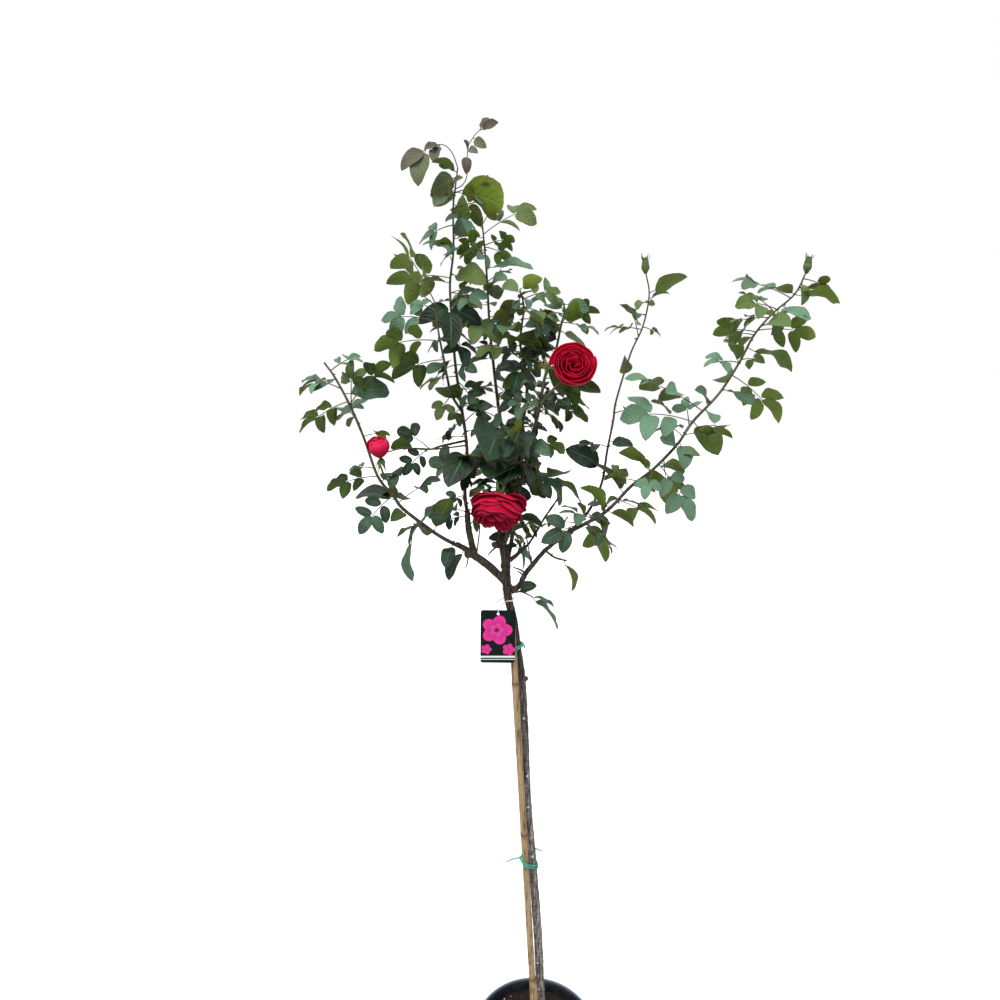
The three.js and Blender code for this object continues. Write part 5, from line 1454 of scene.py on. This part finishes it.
# Bases, radii and hips are in millimetres, and the axis is where a flower looks. A petal reaches round
# the flower by its half angle, in the heart and at the outside. Rim and rise are how far out and how
# high a petal's rim is: in the heart, how much more at the outside, and the power of the change. Belly
# is where a petal bulges below its rim, and curl, rag and stray are how far the rims roll back, wave
# and wander, all as shares of the radius or of the rim. Dark is how much painted shade the petals have,
# most on the inner ones. Pale is how much faded red the petals have towards their rims, and, doubled,
# how much painted shade darkens them low in their cups. The sepals leave the hip at the angle of their
# lift.
BLOOMS = {
    "bloom_big": {
        "base": (45, -46, 1590),
        "axis": (-0.01, -0.95, 0.31),
        "radius": 37,
        "petals": 27,
        "half_angles": (1.25, 0.8),
        "rim": (0.1, 0.88, 0.75),
        "rise": (0.95, -0.1, 2.0),
        "belly": (1.3, 0.3),
        "curl": 0.05,
        "rag": 0.06,
        "stray": 0.1,
        "dark": 0,
        "pale": 0,
        "hip": 5.5,
        "sepal_lift": -0.25,
        "cane": "stem_front",
    },
    "bloom_front": {
        "base": (-74, -64, 1386),
        "axis": (-0.1, -0.5, -0.86),
        "radius": 48,
        "petals": 36,
        "half_angles": (1.35, 1.1),
        "rim": (0.14, 0.86, 0.5),
        "rise": (1.06, -0.8, 2.4),
        "belly": (1.04, 0.2),
        "curl": 0.06,
        "rag": 0.07,
        "stray": 0.1,
        "dark": 1.0,
        "pale": 0,
        "hip": 6,
        "sepal_lift": -0.5,
        "cane": "stem_back",
    },
    "bloom_small": {
        "base": (-259, -108, 1454),
        "axis": (-0.1, -0.35, 0.93),
        "radius": 21,
        "petals": 18,
        "half_angles": (1.5, 1.1),
        "rim": (0.08, 0.5, 0.8),
        "rise": (1.75, -0.12, 1.2),
        "belly": (2.3, 0.5),
        "curl": 0.05,
        "rag": 0.03,
        "stray": 0.05,
        "dark": 0.2,
        "pale": 0.25,
        "hip": 4.5,
        "sepal_lift": -1.0,
        "cane": "stem_low_left",
    },
}
PETAL_FOOT = 0.04
PETAL_THICKNESS = 0.0006
SEPAL_LENGTH = 0.023

# A hip hangs below the petals and is a little higher than wide. A ring is a height on the ball that it
# is made from, and how many times as wide the ball becomes there.
HIP_DROP = 0.95
HIP_GIRTH = 0.88
HIP_HEIGHT = 1.15
HIP_RINGS = [(-1, 0.5), (-0.9, 0.62), (-0.78, 0.8), (0.78, 0.85), (0.9, 1.35), (1, 1)]
SEPAL_WIDTHS = [0.22, 0.34, 0.36, 0.3, 0.2, 0.12, 0.07, 0.02]

# The model of a petal lies flat: x is across it, from -1 to 1, and y runs from its foot to its rim.
bpy.ops.mesh.primitive_grid_add(x_subdivisions=8, y_subdivisions=7, size=1, location=(0, 0.5, 0))
petal = gathered("petal", [bpy.context.object])
bpy.ops.object.mode_set(mode="EDIT")
bpy.ops.mesh.select_all(action="SELECT")
bpy.ops.transform.resize(value=(2, 1, 1), center_override=(0, 0, 0))
bpy.ops.object.mode_set(mode="OBJECT")

rose_petal, tree, shader = new_finish("rose_petal", {"Specular IOR Level": 0.08})
spot = add_node(tree, "SeparateXYZ", {0: add_node(tree, "UVMap").outputs[0]}).outputs
tone = stain_of(tree)
place = where(tree)
veined = add_node(tree, "Mapping", {"Vector": add_node(tree, "UVMap").outputs[0], "Scale": (34, 2.2, 1)})
threads = add_node(tree, "TexNoise", {"Vector": veined.outputs[0], "Scale": 1.0, "Detail": 3.0}).outputs[0]
velvet = use_mottle(tree, place, 90.0, 0.2, paint("#da0030"), paint("#f4004a"))["Color"]
# Painted shade: each petal darkens towards its foot, deep in the flower's heart.
foot_shade = blend(tree, ramp(tree, spot["Y"], 0.55, 0.1), velvet, paint("#6a0018"))
# Painted highlight: a thin pale pink line along each petal's rim, as if the rim caught the light.
edge = sums(tree, "MULTIPLY", ramp(tree, spot["Y"], 0.95, 1.0), 0.6)
shade = blend(tree, edge, foot_shade, paint("#ef5f86"))
# Painted shade: the stain's first value darkens a petal, most in the heart and in a dark flower.
shade = blend(tree, sums(tree, "MULTIPLY", tone["Red"], 0.85), shade, paint("#6c0018"))
flush = sums(tree, "MULTIPLY", tone["Green"], ramp(tree, spot["Y"], 0.4, 0.75))
shade = blend(tree, sums(tree, "MULTIPLY", flush, 0.5), shade, paint("#ea3f6c"))
# Painted shade in the cup: in a pale flower, each petal darkens low down, towards its foot.
cup_shade = sums(tree, "MULTIPLY", tone["Blue"], ramp(tree, spot["Y"], 0.95, 0.55))
shade = blend(tree, cup_shade, shade, paint("#560014"))
shade = blend(tree, sums(tree, "MULTIPLY", threads, 0.2), shade, paint("#8a0020"))
tree.links.new(shade, shader.inputs["Base Color"])
rough = sums(tree, "MULTIPLY_ADD", threads, 0.2, 0.42)
tree.links.new(rough, shader.inputs["Roughness"])
relief = add_node(tree, "Bump", {"Height": threads, "Strength": 0.4, "Distance": 0.0009})
tree.links.new(relief.outputs[0], shader.inputs["Normal"])

calyx_green, tree, shader = new_finish("calyx_green", {"Specular IOR Level": 0.4})
place = where(tree)
tone = stain_of(tree)
mixed = use_mottle(tree, place, 150.0, 0.15, paint("#2c4a24"), paint("#4a6a2e"))
shade = blend(tree, tone["Green"], mixed["Color"], paint("#9a8a52"))
shade = blend(tree, tone["Blue"], shade, paint("#b9324e"))
tree.links.new(shade, shader.inputs["Base Color"])
rough = sums(tree, "MULTIPLY_ADD", mixed["Mask"], 0.2, 0.45)
tree.links.new(rough, shader.inputs["Roughness"])
use_grain(tree, shader, place, 800.0, 0.3)


def flower_frame(flower):
    """The matrix that takes a flower from its own upright place to where it grows, in metres."""
    turn = UP.rotation_difference(Vector(flower["axis"]))
    return Matrix.LocRotScale(Vector(flower["base"]) * MM, turn, (1, 1, 1))


def petal_rule(flower, share, turn, draw):
    """Where each point of a petal goes. The share is 0 in the flower's heart and 1 at its outside."""
    radius = flower["radius"] * MM
    inner_rim, rim_span, rim_bend = flower["rim"]
    heart_rise, rise_span, rise_bend = flower["rise"]
    stray = flower["stray"]
    rim = radius * (inner_rim + rim_span * share ** rim_bend) * draw(1 - stray, 1 + stray / 2)
    rise = radius * (heart_rise + rise_span * share ** rise_bend) * draw(1 - stray, 1 + stray)
    belly_reach, belly_rise = flower["belly"]
    inner_angle, outer_angle = flower["half_angles"]
    half_angle = inner_angle + (outer_angle - inner_angle) * share ** 0.6
    curl = radius * flower["curl"] * share * draw(0.5, 1.5)
    rag = radius * flower["rag"] * (1.3 - 0.6 * share)
    phase, ripple, lean = draw(0, math.tau), draw(2, 4.5), draw(-0.05, 0.05)
    notch = draw(0, 0.06)
    place = flower_frame(flower)

    def rule(point):
        x, y, _ = point
        along = y * (1 - 0.2 * abs(x) ** 2.6 - notch * math.exp(-((x / 0.22) ** 2)))
        spread = 0.42 + 0.58 * smooth_step(along, 0, 0.6)
        spread *= 1 - 0.12 * smooth_step(along, 0.8, 1)
        angle = turn + x * half_angle * spread + lean
        stand, arc, reach = (1 - along) ** 2, 2 * along * (1 - along), along * along
        out = stand * PETAL_FOOT * radius + arc * belly_reach * rim + reach * rim
        up = stand * 0.03 * radius + arc * belly_rise * rise + reach * rise
        tip = smooth_step(along, 0.66, 1)
        out += curl * tip * (0.6 + 0.9 * abs(x)) + x * radius * 0.035
        up -= curl * tip * tip * (0.6 + 1.1 * abs(x))
        wave = rag * tip * math.sin(ripple * x * 1.6 + phase)
        out += wave * (1 - share)
        up += wave * 0.8 + rag * 0.4 * math.sin(6.1 * x + phase) * along
        return place @ Vector((math.cos(angle) * out, math.sin(angle) * out, up))

    return rule


bpy.ops.mesh.primitive_uv_sphere_add(segments=20, ring_count=14, radius=1, location=(0, 0, 0))
hip = gathered("hip", [bpy.context.object])
bpy.ops.object.mode_set(mode="EDIT")
for height, width in HIP_RINGS:
    pick(hip, lambda point: abs(point.z - height) < 0.07)
    bpy.ops.transform.resize(value=(width, width, 1), center_override=(0, 0, 0))
bpy.ops.object.mode_set(mode="OBJECT")
only(hip)
bpy.ops.object.shade_smooth()

sepal_steps = len(SEPAL_WIDTHS) - 1
bpy.ops.mesh.primitive_grid_add(x_subdivisions=4, y_subdivisions=sepal_steps, size=1, location=(0, 0.5, 0))
sepal = gathered("sepal", [bpy.context.object])
bpy.ops.object.mode_set(mode="EDIT")
for row, width in enumerate(SEPAL_WIDTHS):
    pick(sepal, lambda point: abs(point.y - row / sepal_steps) < 0.02)
    bpy.ops.transform.resize(value=(width, 1, 1), center_override=(0, 0, 0))
bpy.ops.object.mode_set(mode="OBJECT")
finish_with(sepal, "SOLIDIFY", thickness=0.03, offset=0)


def sepal_rule(flower, turn, lift, length, bow):
    """Where each point of a sepal goes: out from the hip at an angle, and bowed along its length."""
    place = flower_frame(flower)
    hip_size = flower["hip"] * MM

    def rule(point):
        x, y, z = point
        angle = lift + bow * y
        out = hip_size * 0.5 + length * y * math.cos(angle)
        up = -hip_size * 0.35 + length * y * math.sin(angle) + abs(x) * length * 0.35 + z * length
        side = x * length
        spot = (
            math.cos(turn) * out - math.sin(turn) * side,
            math.sin(turn) * out + math.cos(turn) * side,
            up,
        )
        return place @ Vector(spot)

    return rule


def green_ball(flower, height, radius, half_height):
    """A green hip or the egg of a bud, at a height on a flower's axis."""
    place = flower_frame(flower) @ turned((0, 0, height), Quaternion(), (radius, radius, half_height))
    ball = copy_of(hip, place)
    stain(ball, (0.0, 0.0, 0.0))
    return ball


def calyx(flower, length, draw):
    """The green hip under a flower and its five sepals."""
    size = flower["hip"] * MM
    parts = [green_ball(flower, -size * HIP_DROP, size * HIP_GIRTH, size * HIP_HEIGHT)]
    for number in range(5):
        turn = number * math.tau / 5 + 0.3
        lift = flower["sepal_lift"] + draw(-0.2, 0.2)
        rule = sepal_rule(flower, turn, lift, length * draw(0.85, 1), draw(-0.9, 0.3))
        parts.append(reshaped(sepal, rule))
        stain(parts[-1], (0.0, draw(0, 0.3), 0.0))
    return parts


calyxes = []
for number, (name, flower) in enumerate(BLOOMS.items()):
    draw = draws(2100 + number)
    count = flower["petals"]
    parts = []
    for place in range(count):
        share = 1 - place / (count - 1)
        turn = place * GOLDEN_TURN + draw(-0.4, 0.4)
        parts.append(reshaped(petal, petal_rule(flower, share, turn, draw)))
        shadow = draw(0, 0.35 + 0.45 * flower["dark"]) * (1 - 0.6 * share)
        shadow = max(shadow, flower["dark"] * (1 - 0.55 * share))
        stain(parts[-1], (shadow, draw(0, 0.5) + flower["pale"], flower["pale"] * 2))
    piece = gathered(name + "_petals", parts)
    finish_with(piece, "SOLIDIFY", thickness=PETAL_THICKNESS, offset=0)
    finish_with(piece, "SUBSURF", levels=1, render_levels=1)
    only(piece)
    bpy.ops.object.shade_smooth()
    dress(piece, rose_petal)
    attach(piece, "root")
    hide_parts(name)
    calyxes.append((flower["cane"], name, calyx(flower, SEPAL_LENGTH, draw)))

# ---------------------------------------------------------------- buds and spent flowers
# Two green buds end the canes on the right, each an egg in five sepals whose split tips stand up.
# Two flowers have dropped their petals, and their filaments are left on the hip.

# Bases, roots and hips are in millimetres. A root is where a spent flower's neck leaves its cane.
BUDS = {
    "bud_left": {"base": (175, 50, 1755), "axis": (-0.06, 0, 1), "hip": 4.2, "cane": "stem_upright"},
    "bud_right": {"base": (431, 5, 1751), "axis": (0.08, 0, 1), "hip": 4.2, "cane": "stem_right"},
}
EGG_RADIUS = 0.0062
EGG_HALF_HEIGHT = 0.013

# A bud's sepals lie on its belly up to a share of their length, and their tips stand on its neck.
BUD_BELLY = 0.0068
BUD_NECK = 0.0042
BELLY_SHARE = 0.66
BUD_FOOT = -0.004

SPENT = {
    "spent_left": {
        "base": (-12, -24, 1526),
        "axis": (-0.4, -0.5, 0.75),
        "hip": 5,
        "sepal_lift": -0.4,
        "root": (-14, -43, 1503),
    },
    "spent_right": {
        "base": (3, -52, 1596),
        "axis": (-0.5, -0.6, 0.55),
        "hip": 4.5,
        "sepal_lift": -0.4,
        "root": (1, -37, 1574),
    },
}
SPENT_SEPAL_LENGTH = 0.017
FILAMENTS = 46
FILAMENT_RING = 0.0022
FILAMENT_REACH = (0.007, 0.012)
FILAMENT_RADIUS = 0.00016
ANTHER_RADIUS = 0.0004
NECK_RADIUS = 0.0013
NECK_TOP = -0.008


def bud_rule(flower, turn, length, split):
    """Where each point of a bud's sepal goes: up round the egg, with its tip standing off it."""
    place = flower_frame(flower)

    def rule(point):
        x, y, z = point
        belly, width = BUD_NECK, 0.024
        if y < BELLY_SHARE:
            belly, width = BUD_BELLY * math.sin(math.pi * min(1, y * 1.25 + 0.16)) ** 0.8, 0.028
        out = belly + max(0, y - 0.6) * 0.012 * split + z * 0.02
        side = x * width
        angle = turn + side / max(out, 0.003)
        return place @ Vector((math.cos(angle) * out, math.sin(angle) * out, BUD_FOOT + y * length))

    return rule


for number, (name, flower) in enumerate(BUDS.items()):
    draw = draws(3300 + number)
    size = flower["hip"] * MM
    egg = green_ball(flower, EGG_HALF_HEIGHT / 2, EGG_RADIUS, EGG_HALF_HEIGHT)
    parts = [egg, green_ball(flower, -size, size * 0.85, size)]
    for side in range(5):
        turn = side * math.tau / 5 + draw(-0.1, 0.1)
        rule = bud_rule(flower, turn, draw(0.026, 0.031), draw(0.6, 1.5))
        parts.append(reshaped(sepal, rule))
        stain(parts[-1], (0.0, draw(0, 0.3), draw(0, 0.1)))
    calyxes.append((flower["cane"], name, parts))

for number, (name, flower) in enumerate(SPENT.items()):
    draw = draws(3400 + number)
    parts = calyx(flower, SPENT_SEPAL_LENGTH, draw)
    place = flower_frame(flower)
    runs = []
    for _ in range(FILAMENTS):
        turn, lift, reach = draw(0, math.tau), draw(0.35, 1.4), draw(*FILAMENT_REACH)
        points = []
        for step in range(4):
            angle = lift - 0.25 * step / 3
            out = FILAMENT_RING + reach * step / 3 * math.cos(angle)
            up = reach * step / 3 * math.sin(angle)
            spot = place @ Vector((math.cos(turn) * out, math.sin(turn) * out, up))
            points.append((tuple(spot), FILAMENT_RADIUS))
        points[-1] = (points[-1][0], ANTHER_RADIUS)
        runs.append(points)
    threads = tubes("filaments", runs, roundness=0)
    stain(threads, (0.0, 0.85, 0.0))
    foot = place @ Vector((0, 0, NECK_TOP))
    root = Vector(flower["root"]) * MM
    neck = tubes("neck", [[(tuple(root.lerp(foot, i / 3)), NECK_RADIUS) for i in range(4)]])
    stain(neck, (0.0, 0.0, 0.0))
    calyxes.append(("stem_front", name, parts + [threads, neck]))

for cane_name, name, parts in calyxes:
    piece = gathered(name.replace("bloom", "calyx"), parts)
    bpy.ops.object.shade_smooth_by_angle(angle=math.radians(55))
    dress(piece, calyx_green)
    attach(piece, "root")
    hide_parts(cane_name)
for model in (petal, sepal, hip):
    bpy.data.objects.remove(model)

for name, parts in crown_parts.items():
    piece = gathered(name.replace("stem", "cane").replace("twig", "cane_twig"), parts)
    bpy.ops.object.shade_smooth_by_angle(angle=math.radians(60))
    dress(piece, cane_skin)
    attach(piece, "root")
    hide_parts(name)
